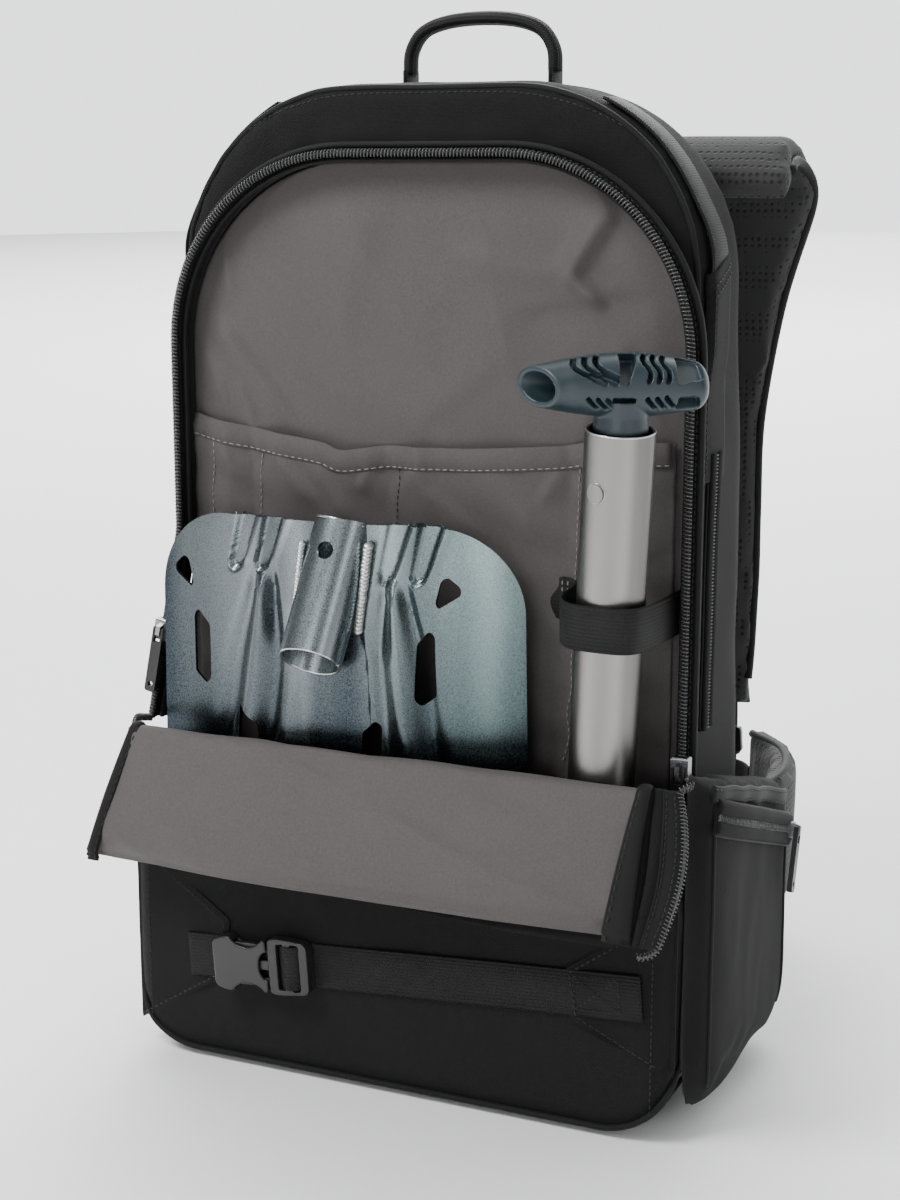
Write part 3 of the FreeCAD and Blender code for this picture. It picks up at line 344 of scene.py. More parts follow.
def make_materials():
    M["shell"] = woven("BlackTwill", (0.0078, 0.0078, 0.0082), 0.0013, True, 0.85, 0.03, 0.5, 0.0002)
    M["lining"] = woven("GreyLining", (0.070, 0.063, 0.062), 0.0006, False, 0.6, 0.06, 0.14, 0.00006, 0.22)
    M["flap"] = woven("FlapLining", (0.078, 0.071, 0.070), 0.0006, False, 0.62, 0.06, 0.14, 0.00006, 0.2)
    M["binding"] = woven("BindingTape", (0.007, 0.007, 0.0074), 0.0008, False, 0.62, 0.04, 0.45, 0.0001)
    M["web"] = ribbed("Webbing", (0.0085, 0.0085, 0.0088))
    M["mesh"] = spacer_mesh("SpacerMesh", (0.0095, 0.0095, 0.0098))
    M["coil"] = moulded("CoilNylon", (0.045, 0.045, 0.046), 0.24)
    M["plastic"] = moulded("BuckleNylon", (0.013, 0.0128, 0.0128), 0.36)
    M["puller"] = moulded("PullerNylon", (0.009, 0.009, 0.0095), 0.34)
    M["grip"] = moulded("GripNylon", (0.011, 0.0235, 0.030), 0.4, 1500, 0.00005)
    M["trigger"] = moulded("TriggerNylon", (0.42, 0.045, 0.02), 0.4)
    M["gunmetal"] = metal("Gunmetal", (0.30, 0.30, 0.31), 0.3)
    # these stops paint the shaft's shading: darker flanks and a lit middle with painted highlights
    M["tube"] = metal("BlastedTube", (0.21, 0.204, 0.196), 0.34, 1300, 0.00006, variety=0.62, painted_shading_stops=(
        (0.0, 0.05), (0.14, 0.25), (0.38, 0.82), (0.58, 0.6), (0.78, 0.95), (0.92, 0.35), (1.0, 0.1)))
    M["blade"] = blade_metal()
    M["socket"] = metal("SatinSocket", (0.26, 0.30, 0.315), 0.27, 1500, 0.00003, variety=0.15)
    M["edge"] = metal("BareEdge", (0.62, 0.64, 0.64), 0.28)
    M["weld"] = metal("WeldBead", (0.55, 0.56, 0.55), 0.36, 900, 0.00006)
    M["steel"] = metal("StampedSteel", (0.5, 0.5, 0.51), 0.32, 900, 0.00002, 0.6)
    M["thread_light"] = woven("PaleThread", (0.20, 0.19, 0.185), 0.0005, False, 0.6, 0.2, 0.4, 0.00005)
    M["thread_dark"] = woven("BlackThread", (0.012, 0.012, 0.0125), 0.0005, False, 0.55, 0.2, 0.4, 0.00005)


# ---------------------------------------- mesh helpers


def piece(name, verts, faces, material, body, slot, uv=None):
    """A mesh object that rides on a body. uv is one pair per corner of each face."""
    mesh = bpy.data.meshes.new(name)
    mesh.from_pydata([tuple(v) for v in verts], [], faces)
    mesh.validate()
    if uv is not None:
        layer = mesh.uv_layers.new(name="Map")
        layer.data.foreach_set("uv", np.asarray(uv, np.float32).ravel())
    made = bpy.data.objects.new(name, mesh)
    place_in_scene(made)
    return dress(made, material, body, slot)


def dress(made, material, body, slot, smooth=True):
    """Gives a piece its material and the body it rides on. slot is not used."""
    made.data.materials.clear()
    made.data.materials.append(material)
    if smooth:
        made.data.shade_smooth()
    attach(made, body)
    return made


def bake(made):
    """Applies the modifiers."""
    bpy.context.view_layer.update()
    graph = bpy.context.evaluated_depsgraph_get()
    mesh = bpy.data.meshes.new_from_object(made.evaluated_get(graph))
    made.modifiers.clear()
    old, made.data = made.data, mesh
    bpy.data.meshes.remove(old)
    return made


def modify(made, kind, **settings):
    modifier = made.modifiers.new(kind, kind)
    for key, given in settings.items():
        setattr(modifier, key, given)
    return bake(made)


def refine(made):
    """One level of subdivision, applied."""
    modify(made, "SUBSURF", levels=1, render_levels=1)


def coords(made):
    flat = np.zeros(len(made.data.vertices) * 3)
    made.data.vertices.foreach_get("co", flat)
    return flat.reshape(-1, 3)


def normals(made):
    flat = np.zeros(len(made.data.vertices) * 3)
    made.data.vertices.foreach_get("normal", flat)
    return flat.reshape(-1, 3)


def set_coords(made, points):
    made.data.vertices.foreach_set("co", np.asarray(points, float).ravel())
    made.data.update()


def loose(name, verts, faces):
    mesh = bpy.data.meshes.new(name)
    mesh.from_pydata([tuple(v) for v in verts], [], faces)
    made = bpy.data.objects.new(name, mesh)
    place_in_scene(made)
    return made


def drop(*objects):
    for each in objects:
        bpy.data.objects.remove(each)


def curve_through(points, count):
    """Evenly spread points on a Catmull-Rom curve through the given points."""
    points = [Vector(p) for p in points]
    line = [points[0] * 2 - points[1], *points, points[-1] * 2 - points[-2]]
    dense = []
    for a, b, c, d in zip(line, line[1:], line[2:], line[3:]):
        for step in range(16):
            t = step / 16
            dense.append(0.5 * ((2 * b) + (c - a) * t + (2 * a - 5 * b + 4 * c - d) * t * t
                                + (3 * b - a - 3 * c + d) * t * t * t))
    dense.append(points[-1])
    return spread(dense, count)


def spread(points, count):
    """The same line with evenly spaced points."""
    line = np.array([tuple(p) for p in points])
    gaps = np.r_[0, np.cumsum(np.linalg.norm(np.diff(line, axis=0), axis=1))]
    wanted = np.linspace(0, gaps[-1], count)
    return [Vector(p) for p in np.stack([np.interp(wanted, gaps, line[:, k]) for k in range(3)], 1)]


def length_of(points):
    return sum((b - a).length for a, b in zip(points, points[1:]))


def tangents(points):
    last = len(points) - 1
    return [(points[min(i + 1, last)] - points[max(i - 1, 0)]).normalized() for i in range(last + 1)]


def strip_mesh(points, across, width, thick, crown=0.0):
    """A band's vertices, faces and map. The width and its direction, across, are one value or one for
    each point."""
    heads = tangents(points)
    verts, along = [], 0.0
    uv_rows = []
    widths = width if isinstance(width, list) else [width] * len(points)
    for i, point in enumerate(points):
        half, edge = widths[i] / 2, min(thick * 0.45, widths[i] * 0.2)
        section = [(-half, 0), (-half + edge, -thick / 2), (0, -thick / 2 - crown), (half - edge, -thick / 2),
                   (half, 0), (half - edge, thick / 2), (0, thick / 2 + crown), (-half + edge, thick / 2)]
        side = across[i] if isinstance(across, list) else across
        up = heads[i].cross(side).normalized()
        side = up.cross(heads[i]).normalized()
        if i:
            along += (point - points[i - 1]).length
        verts += [point + side * a + up * b for a, b in section]
        uv_rows.append([(along, a) for a, _ in section])
    size = len(section)
    faces, uv = [], []
    for i in range(len(points) - 1):
        for k in range(size):
            n = (k + 1) % size
            faces.append((i * size + k, i * size + n, (i + 1) * size + n, (i + 1) * size + k))
            uv += [uv_rows[i][k], uv_rows[i][n], uv_rows[i + 1][n], uv_rows[i + 1][k]]
    for row, order in ((0, range(size - 1, -1, -1)), (len(points) - 1, range(size))):
        faces.append(tuple(row * size + k for k in order))
        uv += [uv_rows[row][k] for k in order]
    return verts, faces, uv


def strip(name, points, across, width, thick, material, body, slot, crown=0.0):
    verts, faces, uv = strip_mesh(points, across, width, thick, crown)
    return piece(name, verts, faces, material, body, slot, uv=uv)


def tube_mesh(points, radius, sides=10):
    heads = tangents(points)
    up = UPWARD if abs(heads[0].z) < 0.9 else BACKWARD
    up = (up - heads[0] * up.dot(heads[0])).normalized()
    verts = []
    for i, (point, head) in enumerate(zip(points, heads)):
        up = (up - head * up.dot(head)).normalized()
        side = head.cross(up)
        r = radius[i] if isinstance(radius, (list, tuple)) else radius
        verts += [point + (up * math.cos(a) + side * math.sin(a)) * r
                  for a in (2 * math.pi * k / sides for k in range(sides))]
    faces = [(i * sides + k, (i + 1) * sides + k, (i + 1) * sides + (k + 1) % sides,
              i * sides + (k + 1) % sides)
             for i in range(len(points) - 1) for k in range(sides)]
    faces.append(tuple(range(sides)))
    faces.append(tuple((len(points) - 1) * sides + k for k in reversed(range(sides))))
    return verts, faces


def tube(name, points, radius, material, body, slot, sides=10):
    verts, faces = tube_mesh(points, radius, sides)
    return piece(name, verts, faces, material, body, slot)


def joined(parts):
    verts, faces = [], []
    for some_verts, some_faces in parts:
        base = len(verts)
        verts += some_verts
        faces += [tuple(base + k for k in face) for face in some_faces]
    return verts, faces


def spindle(centre, head, side, length, radius, sides=6):
    """A small closed seed shape, such as one stitch."""
    rings = ((-0.5, 0.0), (-0.38, 0.75), (0.0, 1.0), (0.38, 0.75), (0.5, 0.0))
    up = head.cross(side).normalized()
    verts = [centre - head * length / 2]
    for place, share in rings[1:-1]:
        verts += [centre + head * (place * length) + (side * math.cos(a)
                                                      + up * math.sin(a)) * (radius * share)
                  for a in (2 * math.pi * k / sides for k in range(sides))]
    verts.append(centre + head * length / 2)
    last = len(verts) - 1
    faces = [(0, 1 + (k + 1) % sides, 1 + k) for k in range(sides)]
    for ring in range(2):
        base = 1 + ring * sides
        faces += [(base + k, base + (k + 1) % sides, base + sides + (k + 1) % sides, base + sides + k)
                  for k in range(sides)]
    base = 1 + 2 * sides
    faces += [(base + k, base + (k + 1) % sides, last) for k in range(sides)]
    return verts, faces


def stitch_parts(lines, out, pitch=0.0036, length=0.0026, radius=0.00032):
    """One seed for each stitch along each line; out is the direction that the stitches face."""
    parts = []
    for line in lines:
        count = max(2, round(length_of(line) / pitch))
        spots = spread(line, count + 1)
        for a, b in zip(spots, spots[1:]):
            head = (b - a).normalized()
            side = head.cross(out).normalized()
            parts.append(spindle((a + b) / 2, head, side, length, radius))
    return parts


def stitches(name, lines, out, material, body, slot, **sizes):
    verts, faces = joined(stitch_parts(lines, out, **sizes))
    return piece(name, verts, faces, material, body, slot)


COIL_STEPS, COIL_SIDES = 10, 5


def coil_parts(points, out, radius=0.0015, pitch=0.0019, wire=0.00042):
    """Half of a zipper: a nylon wire wound round the line of points."""
    total = length_of(points)
    count = max(2, int(total / pitch))
    core = spread(points, count * COIL_STEPS + 1)
    heads = tangents(core)
    wound = []
    for i, (point, head) in enumerate(zip(core, heads)):
        side = head.cross(out).normalized()
        face = side.cross(head).normalized()
        angle = 2 * math.pi * i / COIL_STEPS
        wound.append(point + side * (math.cos(angle) * radius * 1.25)
                     + face * (math.sin(angle) * radius * 0.8))
    return tube_mesh(wound, wire, COIL_SIDES)


def grid_piece(name, surface, columns, rows):
    """A sheet of quads from surface(u, v), with u and v from 0 to 1."""
    verts = [surface(c / columns, r / rows) for r in range(rows + 1) for c in range(columns + 1)]
    faces = []
    for r in range(rows):
        for c in range(columns):
            a = r * (columns + 1) + c
            faces.append((a, a + 1, a + columns + 2, a + columns + 1))
    return loose(name, verts, faces)


def hug(points, made, lift, rounds=2):
    """The points moved onto a mesh and lift out from it, and evened out along the line."""
    bpy.context.view_layer.update()
    lifts = lift if isinstance(lift, list) else [lift] * len(points)
    line = []
    for point, up in zip(points, lifts):
        _, at, normal, _ = made.closest_point_on_mesh(point)
        line.append(at + normal * up)
    for _ in range(rounds):
        line = [line[0]] + [(a + b * 2 + c) / 4 for a, b, c in zip(line, line[1:], line[2:])] + [line[-1]]
    return line


def outward(made):
    """Turns every face of a closed mesh outward."""
    work = bmesh.new()
    work.from_mesh(made.data)
    bmesh.ops.recalc_face_normals(work, faces=work.faces)
    work.to_mesh(made.data)
    work.free()
    return made


def thicken(made, thick, offset=-1.0):
    return modify(made, "SOLIDIFY", thickness=thick, offset=offset, use_even_offset=False)


# ---------------------------------------- soft bodies


def node_mesh(name, source):
    made = bpy.data.objects.new(name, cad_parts[source].data.copy())
    place_in_scene(made)
    made.data.materials.clear()
    return made


def hull_mesh(name, source):
    """The closed outer shape of a CAD node that is hollow."""
    cloud = bmesh.new()
    cloud.from_mesh(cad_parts[source].data)
    made = bmesh.ops.convex_hull(cloud, input=cloud.verts)
    inner = {g for g in made["geom_interior"] if isinstance(g, bmesh.types.BMVert)}
    unused = {g for g in made["geom_unused"] if isinstance(g, bmesh.types.BMVert)}
    bmesh.ops.delete(cloud, geom=list(inner | unused), context="VERTS")
    mesh = bpy.data.meshes.new(name)
    cloud.to_mesh(mesh)
    cloud.free()
    made = bpy.data.objects.new(name, mesh)
    place_in_scene(made)
    return made


def remesh(made, voxel):
    return modify(made, "REMESH", mode="VOXEL", voxel_size=voxel, use_smooth_shade=True)


CLOTH_FRAMES, CLOTH_QUALITY = 20, 5


def inflate(made, pressure, cap):
    """Cloth with air in it, its result applied: each point's travel is capped, and hardly any
    goes inward."""
    start, facing = coords(made), normals(made)
    scene = bpy.context.scene
    scene.frame_set(1)
    modifier = made.modifiers.new("Cloth", "CLOTH")
    settings = modifier.settings
    settings.quality = CLOTH_QUALITY
    settings.mass = 0.3
    settings.tension_stiffness = settings.compression_stiffness = 12
    settings.shear_stiffness = 6
    settings.bending_stiffness = 0.4
    settings.use_pressure = True
    settings.uniform_pressure_force = pressure
    settings.effector_weights.gravity = 0
    modifier.point_cache.frame_start, modifier.point_cache.frame_end = 1, CLOTH_FRAMES
    modifier.collision_settings.use_collision = False
    for step in range(1, CLOTH_FRAMES + 1):
        scene.frame_set(step)
    bake(made)
    scene.frame_set(1)
    moved = coords(made) - start
    inward = np.minimum(0, (moved * facing).sum(axis=1, keepdims=True) + 0.8 * MM)
    moved -= facing * inward
    size = np.linalg.norm(moved, axis=1, keepdims=True)
    set_coords(made, start + moved * np.minimum(1, cap / np.maximum(size, 1e-9)))
    return made


def wrinkle(made, amount, scale, seed=0.0, stretch=(1, 1, 1), where=None):
    """Moves each point along its normal by smooth ridged noise."""
    points, facing = coords(made), normals(made)
    for i, point in enumerate(points):
        spot = Vector((point[0] * stretch[0], point[1] * stretch[1], point[2] * stretch[2])) * scale
        spot += Vector((seed, seed * 1.7, seed * 0.6))
        ridge = 1 - abs(noise.noise(spot)) * 2
        soft = noise.noise(spot * 0.6)
        share = 1 if where is None else where(point)
        points[i] += facing[i] * amount * share * (0.5 * (ridge - 0.6) + 0.6 * soft)
    set_coords(made, points)
    return made


def pad(name, source, voxel, pressure, cap, material, body, slot, wrinkles=0.0006):
    """A foam or fabric piece from its CAD solid: remeshed, blown up a little, wrinkled and smoothed."""
    made = remesh(node_mesh(name, source), voxel)
    inflate(made, pressure, cap)
    wrinkle(made, wrinkles, 30, seed=len(name))
    refine(made)
    dress(made, material, body, slot)
    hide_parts(source)
    return made


def sharpen(made, degrees=32):
    """Keeps the shading crisp at edges that turn more than this."""
    work = bmesh.new()
    work.from_mesh(made.data)
    for edge in work.edges:
        edge.smooth = len(edge.link_faces) == 2 and edge.calc_face_angle(0) < math.radians(degrees)
    for face in work.faces:
        face.smooth = True
    work.to_mesh(made.data)
    work.free()
    return made


def prism(name, outline, low, high, place_at):
    """A closed block: an outline of (a, b) pairs in mm between two depths, set in space by place_at(a, b,
    depth)."""
    count = len(outline)
    verts = [place_at(a, b, depth) for depth in (low, high) for a, b in outline]
    faces = [tuple(range(count)), tuple(reversed(range(count, 2 * count)))]
    faces += [(k, count + k, count + (k + 1) % count, (k + 1) % count) for k in range(count)]
    made = loose(name, verts, faces)
    return outward(made)


def rounded(corners, radius, steps=5):
    """An outline with its corners rounded."""
    points = [Vector((a, b)) for a, b in corners]
    out = []
    count = len(points)
    for i, corner in enumerate(points):
        before, after = points[i - 1] - corner, points[(i + 1) % count] - corner
        reach = min(radius, before.length * 0.48, after.length * 0.48)
        a, b = corner + before.normalized() * reach, corner + after.normalized() * reach
        for step in range(steps + 1):
            t = step / steps
            out.append(tuple(a * (1 - t) ** 2 + corner * 2 * t * (1 - t) + b * t * t))
    return out


def carve(made, *tools):
    """Cuts the tools out of the shape and removes them."""
    for tool in tools:
        modifier = made.modifiers.new("Cut", "BOOLEAN")
        modifier.operation, modifier.object, modifier.solver = "DIFFERENCE", tool, "EXACT"
    bake(made)
    drop(*tools)
    return made


def merge(name, *objects):
    """One object from several, their materials dropped."""
    work = bmesh.new()
    for each in objects:
        work.from_mesh(each.data)
    mesh = bpy.data.meshes.new(name)
    work.to_mesh(mesh)
    work.free()
    drop(*objects)
    made = bpy.data.objects.new(name, mesh)
    place_in_scene(made)
    return made


def smoothstep(low, high, value):
    t = min(1.0, max(0.0, (value - low) / (high - low)))
    return t * t * (3 - 2 * t)


def bell(value, width):
    return math.exp(-(value / width) ** 2)


def level(pairs, x):
    """Straight-line steps between (x, value) pairs."""
    return float(np.interp(x, [a for a, _ in pairs], [b for _, b in pairs]))


# ---------------------------------------- the pocket's lining, its sleeve and the rim


# the opening's left leg slumps inward above its knee and flares out below it
LEG_LOW, LEFT_INSET, LEFT_FLARE, LEFT_KNEE = 181.0, 6.0, 16.0, 290.0


def arch_line(half, top, radius, y):
    """The opening's outline: up the right leg, over the arch and down the slumped, flared left leg."""
    left = half - LEFT_INSET
    line = [mm(half, y, LEG_LOW), mm(half, y, top - radius)]
    for side, wide in ((1, half), (-1, left)):
        turns = range(0, 91, 6) if side > 0 else range(90, -1, -6)
        line += [mm(side * (wide - radius + radius * math.cos(math.radians(a))), y,
                    top - radius + radius * math.sin(math.radians(a))) for a in turns]
    line += [mm(-left, y, LEFT_KNEE), mm(-(half + LEFT_FLARE), y, LEG_LOW)]
    return spread(line, int(length_of(line) / (4 * MM)) + 1)


def folds(x, z, seed=0.0):
    """Soft creases in thin cloth, in mm: long ridges that run down to the left."""
    along = Vector(((x * 0.82 + z * 0.57) * 0.018 + seed, (z * 0.82 - x * 0.57) * 0.006, seed * 0.7))
    ridge = 1 - abs(noise.noise(along)) * 2.2
    fine = noise.noise(Vector((x * 0.035, seed + 3.1, z * 0.028)))
    return 1.3 * max(0.0, ridge) ** 2 + 0.9 * fine


LINING_LOW, LINING_TOP, LINING_HALF, LINING_ROUND = 18, 488, 146.5, 100
# each crease runs between two points (x, z), with a width and a height; its right flank is the steep one
LINING_CREASES = ((-126, 470, -113, 420, 6, 3.2), (-124, 406, -72, 346, 8, 3.0),
                  (-133, 394, -115, 354, 6, 2.6), (-111, 372, -99, 351, 5, 2.0),
                  (-147, 384, -132, 354, 5, 1.6), (103, 466, 78, 431, 8, 6.0),
                  (79, 434, 98, 417, 6, 4.0), (18, 443, 82, 432, 9, 3.0), (52, 408, 124, 421, 12, -2.2),
                  (-30, 470, -52, 396, 20, 1.8), (40, 388, -10, 352, 14, 1.6), (110, 400, 84, 352, 10, 2.2))
SLEEVE_CREASES = ((-92, 338, -60, 308, 7, 2.6), (-63, 333, -42, 300, 7, 2.6), (-129, 345, -103, 315, 6, 2.4),
                  (-36, 318, -26, 340, 5, 2.2), (-15, 319, 2, 334, 6, 2.2), (66, 317, 80, 338, 6, 2.2),
                  (-12, 330, 34, 296, 10, 1.8), (30, 336, 70, 300, 11, 1.6), (128, 300, 92, 270, 9, 2.2),
                  (120, 250, 90, 225, 9, 2.0), (30, 230, 60, 190, 12, 1.6))


def creased(x, z, creases):
    """How far the creases lift the cloth at a point, in mm."""
    lift = 0.0
    for x0, z0, x1, z1, width, height in creases:
        long = math.hypot(x1 - x0, z1 - z0)
        ahead = ((x - x0) * (x1 - x0) + (z - z0) * (z1 - z0)) / long
        aside = ((x - x0) * (z1 - z0) - (z - z0) * (x1 - x0)) / long
        if abs(aside) < 3 * width and -0.15 * long < ahead < 1.15 * long:
            ends = smoothstep(-0.15, 0.25, ahead / long) * (1 - smoothstep(0.7, 1.15, ahead / long))
            lift += height * ends * bell(aside, width * (0.5 if aside < 0 else 1.0))
    return lift


def lining_wall():
    def half_at(z, left):
        wide = LINING_HALF
        if left:
            wide = LINING_HALF - 6 + max(0.0, (290 - z)) * 16 / 109 if z > 181 else LINING_HALF + 4
        over = z - (LINING_TOP - LINING_ROUND)
        if over > 0:
            wide -= LINING_ROUND - math.sqrt(max(0.0, LINING_ROUND ** 2 - over ** 2))
        return wide

    def surface(u, v):
        z = LINING_LOW + v * (LINING_TOP - LINING_LOW)
        left, right = half_at(z, True), half_at(z, False)
        x = -left + u * (left + right)
        edge = min(1.0, min(u, 1 - u) * 14, (1 - v) * 16)
        puff = 0.4 + edge * max(0.2, 2.0 + folds(x, z) + creased(x, z, LINING_CREASES))
        return mm(x, -45.3 - puff, z)

    made = grid_piece("LiningWall", surface, 150, 230)
    thicken(made, 0.5 * MM, offset=1.0)
    dress(made, M["lining"], "pack", "lining_fabric")
    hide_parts("pocket_lining")
    seams = [[mm(x, -48.4, 222 + 0.01 * x) for x in range(88, 140, 4)],
             [mm(122 + 0.02 * (z - 222), -48.3, z) for z in range(190, 222, 4)]]
    stitches("LiningSeams", seams, FORWARD, M["thread_light"], "pack", "lining_fabric", pitch=0.0034,
             length=0.0022, radius=0.00028)


HEM = ((-138, 354), (-133, 352), (-103, 347.3), (-80, 344.5), (-58, 342), (-50, 338.5), (-44, 338),
       (-20.5, 341.5), (25, 342.5), (79, 346.5), (91, 349), (138, 351))
CHANNELS = (-132, -102, -20.5, 81.5)


def sleeve_depth(x, z):
    """How far the slack sleeve stands out from the lining, in mm."""
    gaps = [abs(x - c) for c in (*CHANNELS, 137)]
    held = min(1.0, min(gaps) / 22)
    slack = level(HEM, x) - z
    bulge = 1.2 + 3.0 * held * math.exp(-slack / 90) + 1.6 * held
    crease = folds(x * 1.3, z, 5.0) * 0.9
    near = min(gaps)
    pulled = 1.1 * math.sin((z * 0.25 + x * 0.1)) * math.exp(-near / 14) * (1 - math.exp(-near / 4))
    return max(0.4, bulge + crease * held + pulled + creased(x, z, SLEEVE_CREASES) * (0.3 + 0.7 * held))


def sleeve():
    def surface(u, v):
        x = -138 + u * 275
        z = 22 + v * (level(HEM, x) - 22)
        return mm(x, -47.4 - sleeve_depth(x, z), z)

    made = grid_piece("Sleeve", surface, 160, 160)
    thicken(made, 0.6 * MM, offset=1.0)
    dress(made, M["lining"], "pack", "lining_fabric")
    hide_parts("probe_sleeve")
    hem_points = [(x, level(HEM, x)) for x in range(-138, 138, 3)]
    depths = [max(sleeve_depth(x, z - drop) for drop in (0, 3, 6, 9, 12)) for x, z in hem_points]
    hem = strip("SleeveHem", [mm(x, -48.1 - depth, z - 5.5) for depth, (x, z) in zip(depths, hem_points)],
                UPWARD, 0.0125, 0.0011, M["lining"], "pack", "lining_fabric", crown=0.0003)
    line = [mm(x, -48.9 - depth, z - 10.6) for depth, (x, z) in zip(depths, hem_points)]
    sewn = stitches("SleeveHemStitches", [line], FORWARD, M["thread_light"], "pack", "lining_fabric",
                    pitch=0.0040, length=0.0027, radius=0.00036)
    runs = []
    for channel in CHANNELS:
        top = int(level(HEM, channel)) + (7 if channel > 0 else 3)
        runs.append(hug([mm(channel + 0.03 * (z - 200), -60, z) for z in range(182, top, 4)], made, 0.0004))
    pale = stitches("SleeveChannel", runs[:2] + runs[3:], FORWARD, M["thread_light"], "pack", "lining_fabric",
                    pitch=0.0040, length=0.0026, radius=0.00036)
    dark = stitches("SleeveChannelsDark", runs[2:3], FORWARD, M["thread_dark"], "pack", "lining_fabric",
                    pitch=0.0036, length=0.0026, radius=0.0003)


def opening_edge():
    """The bound rim round the pocket's mouth, its zipper tape and half of the coil."""
    rim = arch_line(148, 492, 100, -51.2)
    made = strip("OpeningRim", rim, BACKWARD, 0.0122, 0.0066, M["shell"], "pack", "shell_fabric",
                 crown=0.0008)
    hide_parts("opening_rim")
    edge = arch_line(144.4, 488.4, 96.4, -57.2)
    strip("RimBinding", edge, BACKWARD, 0.0034, 0.0016, M["binding"], "pack", "shell_fabric", crown=0.0004)
    outer = arch_line(151.9, 495.9, 103.9, -56.6)
    strip("RimPiping", outer, BACKWARD, 0.0026, 0.0026, M["binding"], "pack", "shell_fabric", crown=0.0004)
    tape = strip("ZipperTape", arch_line(147.9, 491.9, 99.9, -59.4), BACKWARD, 0.0052, 0.0012, M["binding"],
                 "pack", "zipper_tape")
    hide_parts("pocket_zipper_tape")
    coil_line = arch_line(147.8, 491.8, 99.8, -63.0)
    verts, faces = coil_parts(coil_line, FORWARD)
    coil = piece("ZipperCoil", verts, faces, M["coil"], "pack", "zipper_coil")
    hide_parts("pocket_zipper_coil")
    cord = arch_line(147.8, 491.8, 99.8, -62.0)
    tube("ZipperCord", cord, 0.0009, M["thread_dark"], "pack", "zipper_coil", sides=6)
    lines = [arch_line(149.8, 493.8, 101.8, -57.9)]
    stitches("RimStitches", lines, FORWARD, M["thread_dark"], "pack", "shell_fabric", pitch=0.0034,
             length=0.0024, radius=0.00034)


# ---------------------------------------- the shovel

BLADE_R, BLADE_X, BLADE_Y = 307.0, -51.0, 217.5
BLADE_LOW, BLADE_TOP = 30.0, 306.0
WINDOWS = ((78, 272, 13, 17), (66, 232, 11, 40), (36, 184, 12, 36))


def blade_y(x):
    return BLADE_Y - math.sqrt(BLADE_R ** 2 - (x - BLADE_X) ** 2)


def blade_relief(x, z):
    """Pressed shape of the sheet in mm, outward positive: the trough, four short grooves and two long
    ridges."""
    depth = 0.0
    right = -17 + 0.06 * (240 - z)
    left = -58 + 0.01 * (240 - z)
    inside = smoothstep(left - 9, left + 7, x) * (1 - smoothstep(right - 2.5, right + 0.8, x))
    depth -= 5.2 * inside * (1 - smoothstep(236, 262, z))
    depth += 1.3 * bell(x - right - 3.4, 2.4) * (1 - smoothstep(225, 250, z))
    for foot_x, foot_z, lean in ((-92.0, 283, 0.30), (-76.0, 283, 0.30), (-5.0, 281, 0.26),
                                 (12.0, 282, 0.26)):
        up = z - foot_z
        across = (x - foot_x - lean * up) / (1 + 0.012 * max(0, up))
        reach = math.hypot(across, min(0.0, up) * 0.7)
        depth -= 3.3 * (1 - smoothstep(2.9, 5.6, reach))
        depth += 0.8 * bell(across - 7.0, 1.6) * smoothstep(-4, 2, up)
    for apex_x, side in ((-75.5, -1), (-1.0, 1)):
        down = 279 - z
        if down > -6:
            drift = -0.085 * down - 0.00055 * down * down if side < 0 else 0.02 * down + 0.0007 * down * down
            across = x - apex_x - drift
            grow = smoothstep(-2, 60, down)
            width = 3.0 + 3.6 * grow
            ridge = bell(across, width)
            valley = bell(across - 1.9 * width, 0.9 * width) + bell(across + 1.9 * width, 1.0 * width)
            start = smoothstep(-5, 14, down)
            depth += start * (3.4 * ridge - 4.2 * valley)
    return depth


def blade_half(z):
    """Half the sheet's width at a height, with its rounded corners."""
    half = 109 - 5 * (z - BLADE_LOW) / (BLADE_TOP - BLADE_LOW)
    over, under = z - (BLADE_TOP - 45), (BLADE_LOW + 18) - z
    if over > 0:
        half -= 45 - math.sqrt(max(0.0, 45 ** 2 - over ** 2))
    if under > 0:
        half -= 18 - math.sqrt(max(0.0, 18 ** 2 - under ** 2))
    return half


def blade():
    def rows(v):
        """Rows crowd together at the rounded corners."""
        return BLADE_LOW + (BLADE_TOP - BLADE_LOW) * (0.5 - 0.5 * math.cos(math.pi * v)) ** 0.92

    def surface(u, v):
        z = rows(v)
        x = -40 + (2 * u - 1) * blade_half(z)
        return mm(x, blade_y(x) - blade_relief(x, z), z)

    made = grid_piece("ShovelBlade", surface, 190, 210)
    thicken(made, 2.0 * MM, offset=-1.0)
    tools = []
    for side in (-1, 1):
        for number, (across, up, wide, high) in enumerate(WINDOWS):
            inner, outer = BLADE_X + side * (across - wide / 2), BLADE_X + side * (across + wide / 2)
            middle, half = (inner + outer) / 2, high / 2
            if number == 0:
                corners = [(inner + side * 3, up + half - 2), (middle, up + half), (outer, up + 3),
                           (outer, up - 1), (inner + side * 1.5, up - half), (inner, up - half + 3)]
            elif number == 2 and side < 0:
                corners = [(inner, up - half), (outer, up - half + 4), (outer, up + half + 1),
                           (inner, up + half - 8)]
            else:
                corners = [(outer, up - half + 5), (inner + side * 3, up - half - 1), (inner, up - half + 3),
                           (inner, up + half - 8), (outer - side * 3, up + half), (outer, up + half - 3)]
            outline = rounded(corners, 3.2 if number == 0 else 2.0)
            tools.append(prism(f"Window{side}{number}", outline, -110, -50, lambda a, b, d: mm(a, d, b)))
    run = (SOCKET_TOP - SOCKET_LOW).normalized()
    verts, faces = tube_mesh([SOCKET_LOW - run * 0.03, SOCKET_LOW + run * 0.12], 0.0167, 48)
    tools.append(loose("SocketWay", verts, faces))
    for tool in tools:
        outward(tool)
    carve(made, *tools)
    dress(sharpen(made, 38), M["blade"], "blade", "blade_aluminium", smooth=False)
    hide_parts("shovel_blade")


